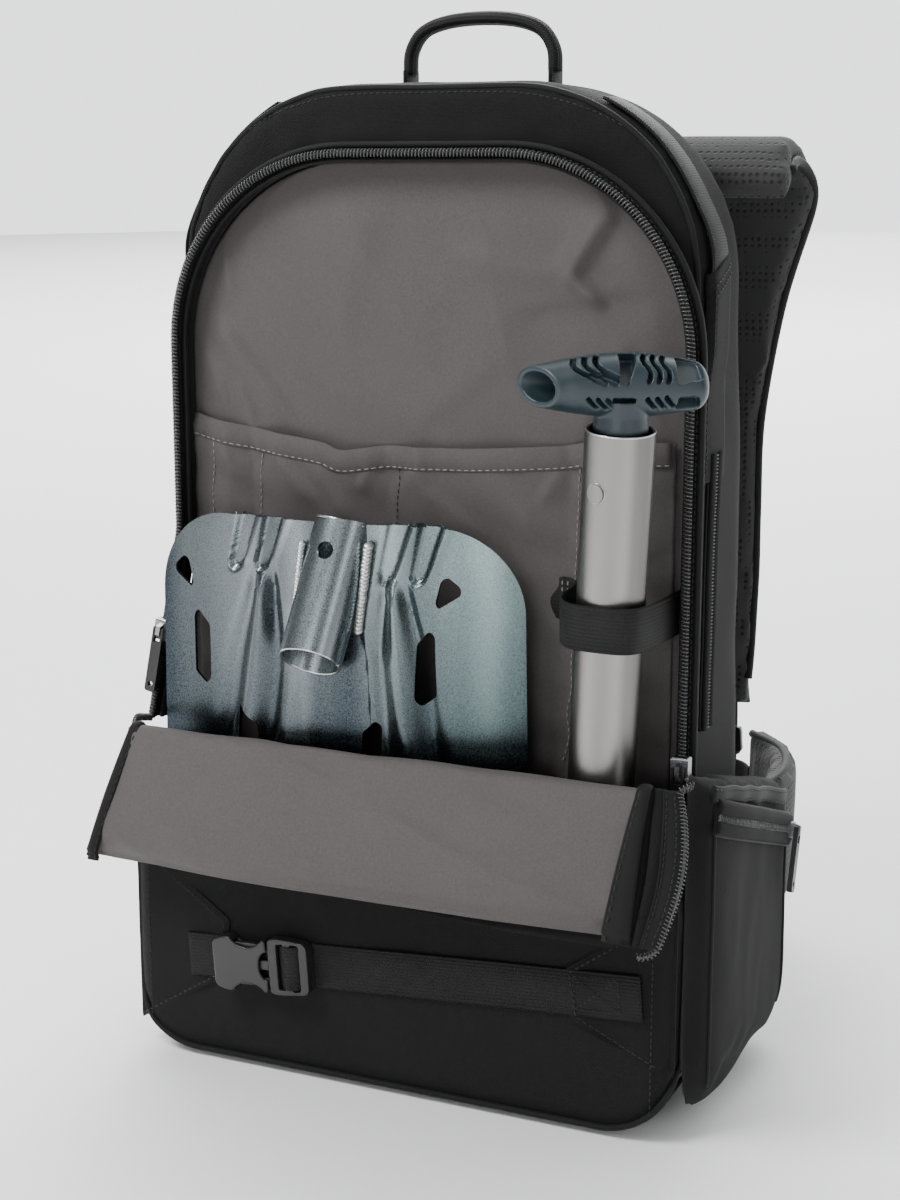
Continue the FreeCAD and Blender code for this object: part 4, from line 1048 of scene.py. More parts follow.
SOCKET_LOW, SOCKET_TOP = mm(-39, -104, 239), mm(-30, -80, 304)


def blade_socket():
    """The welded tube, its lower end cut at a slant so that its front is short, with the button's hole
    near its top."""
    run = (SOCKET_TOP - SOCKET_LOW).normalized()
    side = ACROSS
    front = run.cross(side).normalized()
    if front.y > 0:
        front = -front
    long, outer_r, inner_r, turns, rows = (SOCKET_TOP - SOCKET_LOW).length / MM, 16.6, 14.9, 96, 24
    verts = []
    for radius in (outer_r, inner_r):
        for row in range(rows + 1):
            for k in range(turns):
                angle = 2 * math.pi * k / turns
                low = 4.5 * math.sin(angle) - 3.5
                up = low + (long - low) * row / rows
                verts.append(SOCKET_LOW + run * (up * MM)
                             + (side * math.cos(angle) + front * math.sin(angle)) * (radius * MM))
    ring = (rows + 1) * turns
    faces = []
    for k in range(turns):
        n = (k + 1) % turns
        for row in range(rows):
            a, b = row * turns, (row + 1) * turns
            faces += [(a + k, a + n, b + n, b + k), (ring + a + n, ring + a + k, ring + b + k, ring + b + n)]
        faces += [(n, k, ring + k, ring + n), (rows * turns + k, rows * turns + n, ring + rows * turns + n,
                                               ring + rows * turns + k)]
    made = loose("BladeSocket", verts, faces)
    hole_at = SOCKET_LOW + run * ((long - 17) * MM)
    hole = loose("Hole", *tube_mesh([hole_at + front * 0.008, hole_at + front * 0.03], 0.0046, 32))
    for tool in (made, hole):
        outward(tool)
    carve(made, hole)
    dress(sharpen(made, 40), M["socket"], "blade", "blade_aluminium", smooth=False)
    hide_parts("blade_socket")
    lip = [SOCKET_LOW + run * ((4.5 * math.sin(a) - 3.5) * MM)
           + (side * math.cos(a) + front * math.sin(a)) * (15.8 * MM)
           for a in (2 * math.pi * k / 60 for k in range(61))]
    tube("SocketLowEdge", lip, 0.0008, M["edge"], "blade", "blade_aluminium", 8)
    high = [SOCKET_TOP + offset for offset in circle(run, 15.8)]
    tube("SocketTopEdge", high + high[:1], 0.0008, M["edge"], "blade", "blade_aluminium", 8)


def weld_beads():
    """Each bead is a row of overlapping coins, as the torch leaves them."""
    run = (SOCKET_TOP - SOCKET_LOW).normalized()
    parts = []
    for side, surface, reach, size in ((-1, 92.0, 46, 2.3), (1, 91.4, 48, 2.9)):
        foot, head = (SOCKET_LOW + run * (up * MM) + mm(side * 18.9, 0, 0) for up in (13, 13 + reach))
        foot.y = head.y = -surface * MM
        head_way = (run + Vector((0, -0.75, -0.3))).normalized()
        side_way = head_way.cross(FORWARD).normalized()
        count = int(reach / 2.1)
        for k in range(count + 1):
            spot = foot.lerp(head, k / count)
            sway = noise.noise(spot * 900) * 0.0004
            swell = size * MM * (1 + 0.08 * noise.noise(spot * 500))
            parts.append(spindle(spot + side_way * sway, head_way, side_way, 0.0034, swell, 14))
    verts, faces = joined(parts)
    made = piece("WeldBeads", verts, faces, M["weld"], "blade", "weld_metal")
    refine(made)
    made.data.shade_smooth()
    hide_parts("weld_beads")


def shaft_line(up):
    return SHAFT_LOW + SHAFT_RUN * (up * MM)


SHAFT_LOW, SHAFT_RUN = mm(103.6, -67.9, 89), Vector((0.073902, -0.102570, 0.991977)).normalized()
GRIP_UP, GRIP_HALF = 297, 41


def shaft_details():
    ring = [shaft_line(276) + offset for offset in circle(SHAFT_RUN, 16.6)]
    tube("ShaftTopEdge", ring + ring[:1], 0.00055, M["edge"], "shovel_handle", "tube_aluminium", 8)
    out = -Vector((0.302808, 0.950103, 0.075681))
    centre = shaft_line(248) + out * (17.15 * MM)
    ring = [centre + offset - out * (0.004 * (offset.dot(out.cross(SHAFT_RUN)) / 0.0047) ** 2 * 0.18)
            for offset in circle(out, 4.9)]
    tube("ButtonRing", ring + ring[:1], 0.00032, M["steel"], "shovel_handle", "tube_aluminium", 6)


def circle(normal, radius):
    """Forty offsets round a circle of this radius, in mm."""
    side = normal.orthogonal().normalized()
    up = normal.cross(side).normalized()
    return [(side * math.cos(a) + up * math.sin(a)) * (radius * MM)
            for a in (2 * math.pi * k / 40 for k in range(40))]


def grip():
    """T grip: a waisted spindle with a slanted open end, nested curved slots and pockets on top and
    below."""
    turn = Matrix.Rotation(math.radians(32), 3, "Z")
    tip = UPWARD.rotation_difference(SHAFT_RUN).to_matrix()
    along = (tip @ turn @ ACROSS).normalized()
    up = SHAFT_RUN
    front = up.cross(along).normalized()
    if front.y > 0:
        front = -front
    centre = shaft_line(GRIP_UP)

    def at(a, b, c):
        """a along the grip to its right end, b up, c towards the front; in mm."""
        return centre + (along * a + up * b + front * c) * MM

    rings, sides = 60, 48
    verts = []
    for r in range(rings + 1):
        a = -GRIP_HALF + 2 * GRIP_HALF * r / rings
        t = abs(a) / GRIP_HALF
        high = 15.2 - (5.6 * t ** 1.8 if a < 0 else 5.2 * t * t)
        deep = 15.0 - 3.0 * t * t
        if a > 0:
            end = math.sqrt(max(0.02, 1 - max(0.0, (t - 0.84) / 0.16) ** 2.4))
            high, deep = high * end, deep * end
        for k in range(sides):
            angle = 2 * math.pi * k / sides
            b, c = math.sin(angle), math.cos(angle)
            lift = 0.9 * (1 - t * t)
            shift = 8.0 * c * smoothstep(GRIP_HALF * 0.45, GRIP_HALF, -a)
            verts.append(at(a + shift, b * high + lift, c * deep))
    faces = [(r * sides + k, r * sides + (k + 1) % sides, (r + 1) * sides + (k + 1) % sides,
              (r + 1) * sides + k)
             for r in range(rings) for k in range(sides)]
    faces += [tuple(reversed(range(sides))), tuple(rings * sides + k for k in range(sides))]
    made = loose("Grip", verts, faces)
    tools = []
    lean = math.radians(34)

    def facing(a, c, d, flip):
        """A point d out from the grip's axis and c across, in the tipped frame that its cut-outs face."""
        return at(a, flip * (d * math.cos(lean) - c * math.sin(lean)),
                  d * math.sin(lean) + c * math.cos(lean))

    def slot(path, half, reach=(8.8, 18.0), flip=1):
        """A channel with round ends that follows path, pairs (along, across the top)."""
        line = curve_through([Vector((a, c, 0)) for a, c in path], 14)
        heads = tangents(line)
        edge_a = [(p + Vector((-h.y, h.x, 0)) * half) for p, h in zip(line, heads)]
        edge_b = [(p - Vector((-h.y, h.x, 0)) * half) for p, h in zip(line, heads)]
        outline = [(p.x, p.y) for p in edge_a] + [(p.x, p.y) for p in reversed(edge_b)]
        tools.append(prism("Slot", rounded(outline, half * 0.9, 1), reach[0], reach[1],
                           lambda a, c, d: facing(a, c, d, flip)))

    def pocket(corners, radius, reach=(7.5, 18.0), flip=1):
        tools.append(prism("Pocket", rounded(corners, radius), reach[0], reach[1],
                           lambda a, c, d: facing(a, c, d, flip)))

    for shift in (0, 5.2, 10.4):
        slot([(-24 + shift, -8.5), (-25.5 + shift, 0), (-19 + shift, 5.5), (-10.5 + shift, 9.4)], 1.25)
    pocket([(-3.5, -9), (5.0, -9), (3.2, 0.5), (-0.5, 8.8), (-4.5, 7.0)], 1.6)
    for shift in (0, 4.6, 9.2):
        slot([(9.5 + shift, -9.5), (7.0 + shift, -2), (10.2 + shift, 4.5), (8.8 + shift, 9.2)], 1.1)
    pocket([(23.6, -9.5), (35.5, -7.0), (36.5, 5.5), (23.0, 9.0)], 2.4)
    for shift in (0, 4.6, 9.2):
        slot([(-20 + shift, 10.0), (-14 + shift, 4.5)], 1.0, flip=-1, reach=(6.5, 18))
        slot([(8 + shift, 10.5), (13.5 + shift, 4.5)], 1.0, flip=-1, reach=(6.5, 18))
    pocket([(-6.5, 4), (4.5, 4), (3.0, 10.5), (-8.0, 10.5)], 1.2, flip=-1, reach=(6.5, 18))
    pocket([(23.0, 3), (35, 2), (34, 9), (24.0, 10)], 1.6, flip=-1, reach=(6.0, 18))
    oval = [(9.6 * math.cos(math.tau * k / 32), 7.0 * math.sin(math.tau * k / 32)) for k in range(32)]
    tools.append(prism("GripBore", oval, -GRIP_HALF - 14, -GRIP_HALF + 22, lambda c, b, a: at(a, b + 0.2, c)))
    for tool in (made, *tools):
        outward(tool)
    carve(made, *tools)
    neck = loose("GripNeck", *tube_mesh([shaft_line(275.5), shaft_line(279), shaft_line(284),
                                         shaft_line(292)],
                                        [0.0133, 0.0133, 0.0128, 0.0132], 48))
    made = merge("Grip", made, neck)
    remesh(made, 0.00062)
    modify(made, "SMOOTH", factor=0.5, iterations=3)
    dress(made, M["grip"], "shovel_handle", "grip_plastic")
    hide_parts("shovel_grip")


def shaft_strap():
    """The webbing loop that holds the shaft, sewn down at its left end."""
    outline = [(-30, -50.4), (0, -50.8), (40, -51.2), (84, -52.0), (92.0, -86), (96.0, -97.5),
               (103.5, -105.2), (117, -106.6), (130, -105.6), (136.4, -98.5), (139.6, -80), (141.0, -50)]
    line = curve_through([mm(x, y, 268.5) for x, y in outline], 110)
    line = [p + mm(0, 0, 1.6 * math.sin((p.x * 1000 + 30) / 34)) for p in line]
    made = strip("ShaftStrap", line, UPWARD, 0.0228, 0.0016, M["web"], "pack", "webbing")
    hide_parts("shaft_strap")
    rows = [[mm(82.6, -54.2, z) for z in range(258, 280, 3)],
            [mm(79.2, -53.2, z) for z in range(258, 280, 3)]]
    stitches("ShaftStrapTack", rows, FORWARD, M["thread_light"], "pack", "webbing", pitch=0.0036,
             length=0.0024, radius=0.0004)


# ---------------------------------------- the tool pocket's front, flap, wings and buckle

POCKET_HALF, POCKET_MOUTH, POCKET_ROUND = 158, 174, 40


def pocket_floor(x):
    over = abs(x) - (POCKET_HALF - POCKET_ROUND)
    return 3 + (POCKET_ROUND - math.sqrt(max(0.0, POCKET_ROUND ** 2 - over ** 2)) if over > 0 else 0.0)


def tool_pocket():
    """The pocket's outer wall in one bowed sheet, and its rounded floor."""
    path = [mm(-POCKET_HALF, -46, 0), mm(-POCKET_HALF, -83, 0)]
    path += [mm(-144 - 14 * math.cos(a), -83 - 14 * math.sin(a), 0)
             for a in (math.radians(d) for d in range(10, 90, 10))]
    path += [mm(-144, -97, 0), mm(0, -97, 0), mm(144, -97, 0)]
    path += [mm(144 + 14 * math.sin(a), -83 - 14 * math.cos(a), 0)
             for a in (math.radians(d) for d in range(10, 90, 10))]
    path += [mm(POCKET_HALF, -83, 0), mm(POCKET_HALF, -46, 0)]
    path = spread(path, 181)
    heads = tangents(path)

    def surface(u, v):
        i = int(round(u * 180))
        spot, head = path[i], heads[i]
        x = spot.x * 1000
        low = pocket_floor(x)
        z = low + v * (POCKET_MOUTH - low)
        out = Vector((head.y, -head.x, 0))
        if out.dot(Vector((x, -140, 0))) < 0:
            out = -out
        middle = math.sin(math.pi * min(1.0, v * 1.05)) * min(1.0, u * 14, (1 - u) * 14)
        puff = 1.2 * middle + middle * (folds(x * 0.8, z * 0.8, 9.0) * 0.8 - 0.4)
        tuck = 2.5 * (1 - smoothstep(0.0, 0.07, v))
        return Vector((spot.x, spot.y, z * MM)) + out * ((puff - tuck) * MM)

    wall = grid_piece("PocketFront", surface, 180, 84)
    thicken(wall, 1.6 * MM, offset=-1.0 if wall.data.polygons[40 * 180 + 90].normal.y < 0 else 1.0)

    def bottom(u, v):
        x = -POCKET_HALF + 2 + u * (2 * POCKET_HALF - 4)
        reach = 97 - 14 + math.sqrt(max(0.0, 14 ** 2 - max(0.0, abs(x) - 144) ** 2))
        return mm(x, -46 - v * (reach - 49), pocket_floor(x) + 0.6)

    floor = grid_piece("PocketFloor", bottom, 120, 18)
    thicken(floor, 1.4 * MM, offset=1.0)
    made = merge("PocketFront", wall, floor)
    dress(made, M["shell"], "pack", "shell_fabric")
    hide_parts("tool_pocket")
    line = []
    for i in range(181):
        x = path[i].x * 1000
        line.append(Vector((path[i].x, path[i].y, (pocket_floor(x) + 1.6) * MM)))
    tube("PocketPiping", line, 0.0016, M["binding"], "pack", "shell_fabric", 8)
    for name, x in (("Left", -146.5), ("Right", 146.5)):
        seam = [mm(x, -98.2, z) for z in range(16, 174, 4)]
        stitches("PocketSeam" + name, [seam], FORWARD, M["thread_dark"], "pack", "shell_fabric")


FLAP_TURN = Matrix.Rotation(math.radians(-22), 3, "X")


def on_flap(x, out, up):
    """A point in the folded flap's own frame, in mm: across, out of its lining face negative, up."""
    return mm(0, -101, 189) + FLAP_TURN @ mm(x, out, up)


def flap_left(up):
    return level(((-74, -163), (-1, -149)), up)


def flap_right(up):
    return 141 + 0.11 * up


CREST = 0.85


def flap_face(u, v, inset=0.0):
    """The flap's lining: a soft front face up to v = CREST, and then a roll over the flap's upper edge.
    inset moves it inward."""
    t = v / CREST
    middle = math.sin(math.pi / 2 * min(1.0, u * 8, (1 - u) * 7))
    if t < 1:
        up = -74.0 + 69.5 * t
        x = flap_left(up) + u * (flap_right(up) - flap_left(up))
        roll = 1 - smoothstep(0.0, 0.2, t)
        belly = 3.2 * math.sin(math.pi * min(1.0, 0.14 + t * 0.9)) * middle
        crease = (1.6 + 1.2 * smoothstep(-20, 80, x)) * folds(x * 0.62 + up * 0.7, up * 1.3 - x * 0.2, 2.0)
        out = (-1.0 - 3.1 * smoothstep(0.0, 0.3, t) - belly - crease * middle * min(1.0, (1 - t) * 7)
               + 6.0 * roll ** 2)
        up += -2.5 * math.sin(math.pi * u) * (1 - t) + 1.5 * roll ** 2
        return on_flap(x, out + inset, up)
    angle = (v - CREST) / (1 - CREST) * math.radians(170)
    radius = 4.6 - inset
    up = -4.5 + radius * math.sin(angle)
    x = flap_left(up) + u * (flap_right(up) - flap_left(up))
    dent = 0.9 * noise.noise(Vector((x * 0.022, 5.0, 0))) * middle * math.sin(angle)
    return on_flap(x, 0.5 - radius * math.cos(angle), up + dent)


def flap():
    made = closed_sheet("FlapLining", flap_face, lambda u, v: flap_face(u, v, 1.4), 150, 64)
    inflate(made, 1.2, 1.2 * MM)
    wrinkle(made, 1.5 * MM, 18, 7.0, stretch=(0.8, 1, 0.45),
            where=lambda p: 1 - smoothstep(0.095, 0.128, abs(p[0])))
    refine(made)
    dress(made, M["flap"], "flap", "flap_fabric")
    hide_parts("flap_lining")

    def outer(u, v):
        left, low = level(((-72, -153), (-6, -145)), -72 + v * 66), -73 - 5.0 * smoothstep(0.45, 0.9, u)
        up = low + v * (-6 - low)
        x = left + u * (136 - left)
        edge = math.sin(math.pi / 2 * min(1.0, u * 12, (1 - u) * 12, v * 6, (1 - v) * 6))
        out = 2.6 + 3.4 * edge + 4.6 * (1 - smoothstep(0.0, 0.2, v)) + 0.6 * edge * folds(x, up, 4.0)
        return on_flap(x, out, up - 1.5 * math.sin(math.pi * u) * (1 - v))

    shell = closed_sheet("FlapOuter", outer, lambda u, v: outer(u, v) - FLAP_TURN @ mm(0, 1.3, 0), 110, 36)
    dress(shell, M["shell"], "flap", "shell_fabric")
    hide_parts("flap_shell")


def closed_sheet(name, front, back, columns, rows):
    """A closed thin body between two surfaces over the same (u, v) square."""
    verts = [side(c / columns, r / rows) for side in (front, back) for r in range(rows + 1)
             for c in range(columns + 1)]
    base = (rows + 1) * (columns + 1)

    def index(r, c, layer=0):
        return layer * base + r * (columns + 1) + c

    faces = []
    for r in range(rows):
        for c in range(columns):
            faces.append((index(r, c), index(r, c + 1), index(r + 1, c + 1), index(r + 1, c)))
            faces.append((index(r + 1, c, 1), index(r + 1, c + 1, 1), index(r, c + 1, 1), index(r, c, 1)))
    for c in range(columns):
        faces.append((index(0, c + 1), index(0, c), index(0, c, 1), index(0, c + 1, 1)))
        faces.append((index(rows, c), index(rows, c + 1), index(rows, c + 1, 1), index(rows, c, 1)))
    for r in range(rows):
        faces.append((index(r, 0), index(r + 1, 0), index(r + 1, 0, 1), index(r, 0, 1)))
        faces.append((index(r + 1, columns), index(r, columns), index(r, columns, 1),
                      index(r + 1, columns, 1)))
    made = loose(name, verts, faces)
    return outward(made)


def flap_end(u, v):
    """The right gusset from the binding (u = 0) to the coil (u = 1), v from the flap's foot to its head."""
    up = -76 + v * 77
    bulge = math.sin(math.pi * min(1.0, max(0.0, v)))
    x = 141.5 + u * (15 + 8.5 * bulge)
    out = -3.0 + u * (3.5 + 5.0 * (1 - bulge) + 4.0 * v)
    fold = min(1.0, max(0.0, (u - 0.29) / 0.27))
    out += 1.8 * bell(u - 0.27, 0.05) - (1.6 + 1.6 * bulge) * math.sin(math.pi * fold)
    out += 1.8 * bell(v - 0.17 - 0.04 * u, 0.018) * math.sin(math.pi * fold)
    out += 0.7 * math.sin(up * 0.13 + 3 * u) * math.sin(math.pi * u)
    return on_flap(x, out, up)


def flap_left_end(u, v):
    up = -74 + v * 74
    bulge = math.sin(math.pi * v)
    x = flap_left(up) - 1.0 - u * (2.4 + 3.4 * bulge)
    return on_flap(x, -2.0 + 6.0 * u + 3.0 * v * u, up)


def flap_edges():
    """Binding at both ends of the flap's lining, its gussets, and the coil on each outer edge."""
    ups = [-76 + 2.5 * k for k in range(30)]
    across = FLAP_TURN @ ACROSS
    out = FLAP_TURN @ FORWARD

    def binding_line(x_at, depth):
        """Up the lining's front at one end and over its crest."""
        line = [on_flap(x_at(up), depth - 2.0 * math.sin(math.pi * (up + 76) / 77) + (3.0 if up < -72 else 0),
                        up) for up in ups]
        return line + [on_flap(x_at(0), 0.5 + (depth - 1.2) * math.cos(a), -3.5 - (depth - 1.2) * math.sin(a))
                       for a in (math.radians(d) for d in (25, 60, 95, 130, 165))]

    def edge_at(up):
        return flap_right(up) - 2.5

    right_line = binding_line(lambda up: (edge_at(up) + 145.5) / 2, -3.4)
    widths = [(145.5 - edge_at(up)) * MM for up in ups + [0] * 5]
    strip("FlapBindingRight", right_line, across, widths, 0.0026, M["binding"], "flap", "shell_fabric",
          crown=0.0004)
    strip("FlapBindingLeft", binding_line(lambda up: flap_left(up) + 1.6, -2.4), across, 0.0072, 0.0028,
          M["binding"], "flap", "shell_fabric", crown=0.0006)
    sewn = [binding_line(lambda up: edge_at(up) + 2.6, -5.0)[:-4],
            binding_line(lambda up: flap_left(up) + 4.0, -4.2)[:-4]]
    stitches("FlapStitches", sewn, out, M["thread_dark"], "flap", "shell_fabric", pitch=0.0050, length=0.0031,
             radius=0.0005)

    ends = []
    for name, surface, columns in (("Right", flap_end, 30), ("Left", flap_left_end, 10)):
        sheet = grid_piece("Gusset" + name, surface, columns, 56)
        ends.append(thicken(sheet, 1.0 * MM, offset=0.0))
    made = merge("FlapGussets", *ends)
    dress(made, M["shell"], "flap", "shell_fabric")
    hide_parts("flap_gussets")
    tape = [[flap_end(u, v / 40) + out * 0.0011 for v in range(41)] for u in (0.60, 1.0)]
    middle = [a.lerp(b, 0.5) for a, b in zip(*tape)]
    width = [(b - a).normalized() for a, b in zip(*tape)]
    strip("FlapEndTape", middle, width, 0.0098, 0.0011, M["binding"], "flap", "zipper_tape")
    rows = [[flap_end(u, v / 40) + out * 0.0021 for v in range(1, 40)] for u in (0.63, 0.86)]
    stitches("FlapEndStitches", rows, out, M["thread_dark"], "flap", "zipper_tape", pitch=0.0034,
             length=0.0023, radius=0.0004)
    tube("GussetPiping", [flap_end(0.56, v / 30) + out * 0.0008 for v in range(31)], 0.0012, M["binding"],
         "flap", "shell_fabric", 8)
    right_run = [mm(148.2, -62.5, 182), mm(151.5, -66, 184.5), mm(156, -74, 187), mm(160, -86, 188.5)]
    right_run += [flap_end(1.0, v / 12) + out * 0.0005 for v in range(12, -1, -1)]
    right_run += [on_flap(152, 6.0, -79.5), on_flap(147.5, 4.5, -80.5)]
    left_run = [mm(-163.6, -63, 181.5), mm(-162, -72, 184), mm(-159, -86, 187)]
    left_run += [flap_left_end(1.0, v / 12) for v in range(11, -1, -1)]
    for name, run, face in (("Right", right_run, Vector((0.45, -0.9, 0))),
                            ("Left", left_run, Vector((-0.7, -0.7, 0)))):
        line = curve_through(run, 120)
        coil = loose("FlapCoil" + name, *coil_parts(line, face.normalized()))
        cord = loose("Cord", *tube_mesh(line, 0.0010, 6))
        made = merge("FlapCoil" + name, coil, cord)
        made.data.materials.append(M["coil"])
        made.data.shade_smooth()
        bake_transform(made)
    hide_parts("flap_zipper_coil")


def flap_hinge():
    """The fabric that runs up from the pocket's front into the flap's crest."""
    section = [(-95.6, 166), (-96.0, 172), (-96.6, 177), (-97.6, 181.5), (-99.0, 184.5), (-101.5, 186)]
    line = curve_through([mm(0, y, z) for y, z in section], 26)

    def surface(u, v):
        point = line[int(round(v * 25))]
        x = -154 + u * 297
        ease = 0.4 * math.sin(x * 0.05) + 0.3 * folds(x, v * 40, 6.0) - 0.3
        return Vector((x * MM, point.y - ease * MM * math.sin(math.pi * v), point.z))

    made = grid_piece("FlapHinge", surface, 170, 25)
    thicken(made, 1.2 * MM, offset=0.0)
    made.data.materials.append(M["flap"])
    made.data.shade_smooth()
    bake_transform(made)


STRAP_TURN = Matrix.Rotation(math.radians(-4), 3, "Y")


def on_strap(x, out, up):
    """A point in the board strap's frame, in mm: x along it from the buckle's right end."""
    return mm(-46, -97, 66) + STRAP_TURN @ mm(x, out, up)


def strap_wings():
    parts = []
    for corners in ([(-157, 14), (-100, 49), (-94, 84), (-157, 124)],
                    [(157, 38), (157, 128), (100, 88), (104, 61)]):
        outline = rounded(corners, 3, 3)
        made = prism("Wing", outline, -98.0, -99.6, lambda a, b, d: Vector((
            a * MM, (d + max(0.0, abs(a) - 146) ** 2 * 0.06) * MM, b * MM)))
        work = bmesh.new()
        work.from_mesh(made.data)
        bmesh.ops.triangulate(work, faces=[f for f in work.faces if len(f.verts) > 4])
        bmesh.ops.subdivide_edges(work, edges=work.edges, cuts=3, use_grid_fill=True)
        work.to_mesh(made.data)
        work.free()
        parts.append(made)
    made = merge("StrapWings", *parts)
    for vertex in made.data.vertices:
        vertex.co.y -= 0.5 * MM * noise.noise(vertex.co * 40)
    dress(sharpen(made, 40), M["shell"], "pack", "shell_fabric", smooth=False)
    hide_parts("strap_wings")
    lines = []
    for corners in ([(-150, 21), (-103, 51), (-97, 82), (-150, 118)],
                    [(150, 44), (107, 64), (103, 87), (150, 121)]):
        for a, b in zip(corners, corners[1:]):
            lines.append([mm(a[0] + (b[0] - a[0]) * t / 20, -100.2, a[1] + (b[1] - a[1]) * t / 20)
                          for t in range(21)])
    stitches("WingStitches", lines, FORWARD, M["thread_dark"], "pack", "shell_fabric", pitch=0.0036,
             length=0.0026, radius=0.0004)


def board_strap():
    line = [on_strap(x, -2.3 - 0.4 * math.sin(x / 28), 0.2 * math.sin(x / 35)) for x in range(-18, 190, 2)]
    made = strip("BoardStrap", line, STRAP_TURN @ UPWARD, 0.025, 0.0016, M["web"], "pack", "webbing")
    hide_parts("board_strap")
    left, right = 152, 176
    box = [(left, -9), (right, -9), (right, 9), (left, 9), (left, -9), (right, 9)]
    lines = [[on_strap(a[0] + (b[0] - a[0]) * t / 12, -3.2 - 0.4 * math.sin(a[0] / 28),
                       a[1] + (b[1] - a[1]) * t / 12)
              for t in range(13)] for a, b in zip(box, box[1:])]
    lines.append([on_strap(left + (right - left) * t / 12, -3.1, 9 - 18 * t / 12) for t in range(13)])
    stitches("BoardStrapTack", lines, FORWARD, M["thread_dark"], "pack", "webbing", pitch=0.0030,
             length=0.0022, radius=0.00042)
    tail = [on_strap(x, out, 0) for x, out in ((3.5, -4.2), (-1, -7.6), (-4.0, -10.4), (-8.4, -11.4),
                                               (-12.5, -8.6), (-16.5, -5.0))]
    strip("BoardStrapLoop", curve_through(tail, 24), STRAP_TURN @ UPWARD, 0.0246, 0.0014, M["web"],
          "buckle", "webbing")
    anchor = [on_strap(x, -2.4, 0) for x in range(-74, -50, 2)]
    strip("BuckleAnchor", anchor, STRAP_TURN @ UPWARD, 0.025, 0.0016, M["web"], "pack", "webbing")


def buckle():
    """Side-release buckle: a smooth case with curved cut-outs at its sides, and a plug with a ladder
    frame."""
    def at(a, b, depth):
        return on_strap(a, -depth, b)

    case = prism("BuckleSocket", rounded([(-54, -13), (-47, -15.5), (-24, -15.5), (-21, -14), (-21, 14),
                                          (-24, 15.5), (-47, 15.5), (-54, 13)], 3.5), 3.8, 11.8, at)
    tools = [prism("Mouth", rounded([(-50, -12.4), (-18, -12.4), (-18, 12.4), (-50, 12.4)], 1.5), 5.4, 10.2,
                   at)]
    for side in (-1, 1):
        arc = [(-33 + 12 * math.cos(t), side * (21.5 - 11.5 * math.sin(t))) for t in
               (math.pi * k / 14 for k in range(15))]
        tools.append(prism("Bite", arc, 2, 14, at))
    notch = [(-21 + 5.0 * math.cos(t), 8.0 * math.sin(t))
             for t in (math.pi * (0.5 + k / 12) for k in range(13))]
    tools.append(prism("Notch", notch, 8, 14, at))
    for tool in tools:
        outward(tool)
    carve(case, *tools)
    remesh(case, 0.00055)
    modify(case, "SMOOTH", factor=0.5, iterations=4)
    dress(case, M["plastic"], "pack", "buckle_plastic")
    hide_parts("buckle_socket")

    frame_ = prism("BucklePlug", rounded([(-20.4, -15.2), (-15, -16), (1.5, -14.5), (3.4, -12), (3.4, 12),
                                          (1.5, 14.5), (-15, 16), (-20.4, 15.2)], 3.0), 3.8, 10.6, at)
    slots = [prism("Slot", rounded([(left, -12.9), (right, -12.9), (right, 12.9), (left, 12.9)], 1.2),
                   2, 14, at) for left, right in ((-15, -10.4), (-6.6, -1.6))]
    carve(frame_, *slots)
    arms = [prism("Arm", rounded([(-41.5, side * 9.3), (-19, side * 7), (-19, side * 11), (-33, side * 12),
                                  (-41.5, side * 12)], 1.2), 6.0, 9.6, at) for side in (-1, 1)]
    arms.append(prism("Guide", rounded([(-46.5, -2.4), (-19, -2.9), (-19, 2.9), (-46.5, 2.4)], 1.0), 6.0, 9.6,
                      at))
    bars = [prism("Rib", rounded([(-9.6 + k, -12.4), (-9.0 + k, -12.4), (-9.0 + k, 12.4), (-9.6 + k, 12.4)],
                                 0.2), 10.2, 11.2, at) for k in (0.0, 1.3)]
    plug = merge("BucklePlug", frame_, *arms, *bars)
    outward(plug)
    remesh(plug, 0.0005)
    modify(plug, "SMOOTH", factor=0.5, iterations=3)
    dress(plug, M["plastic"], "buckle", "buckle_plastic")
    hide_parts("buckle_plug")


# ---------------------------------------- side pockets


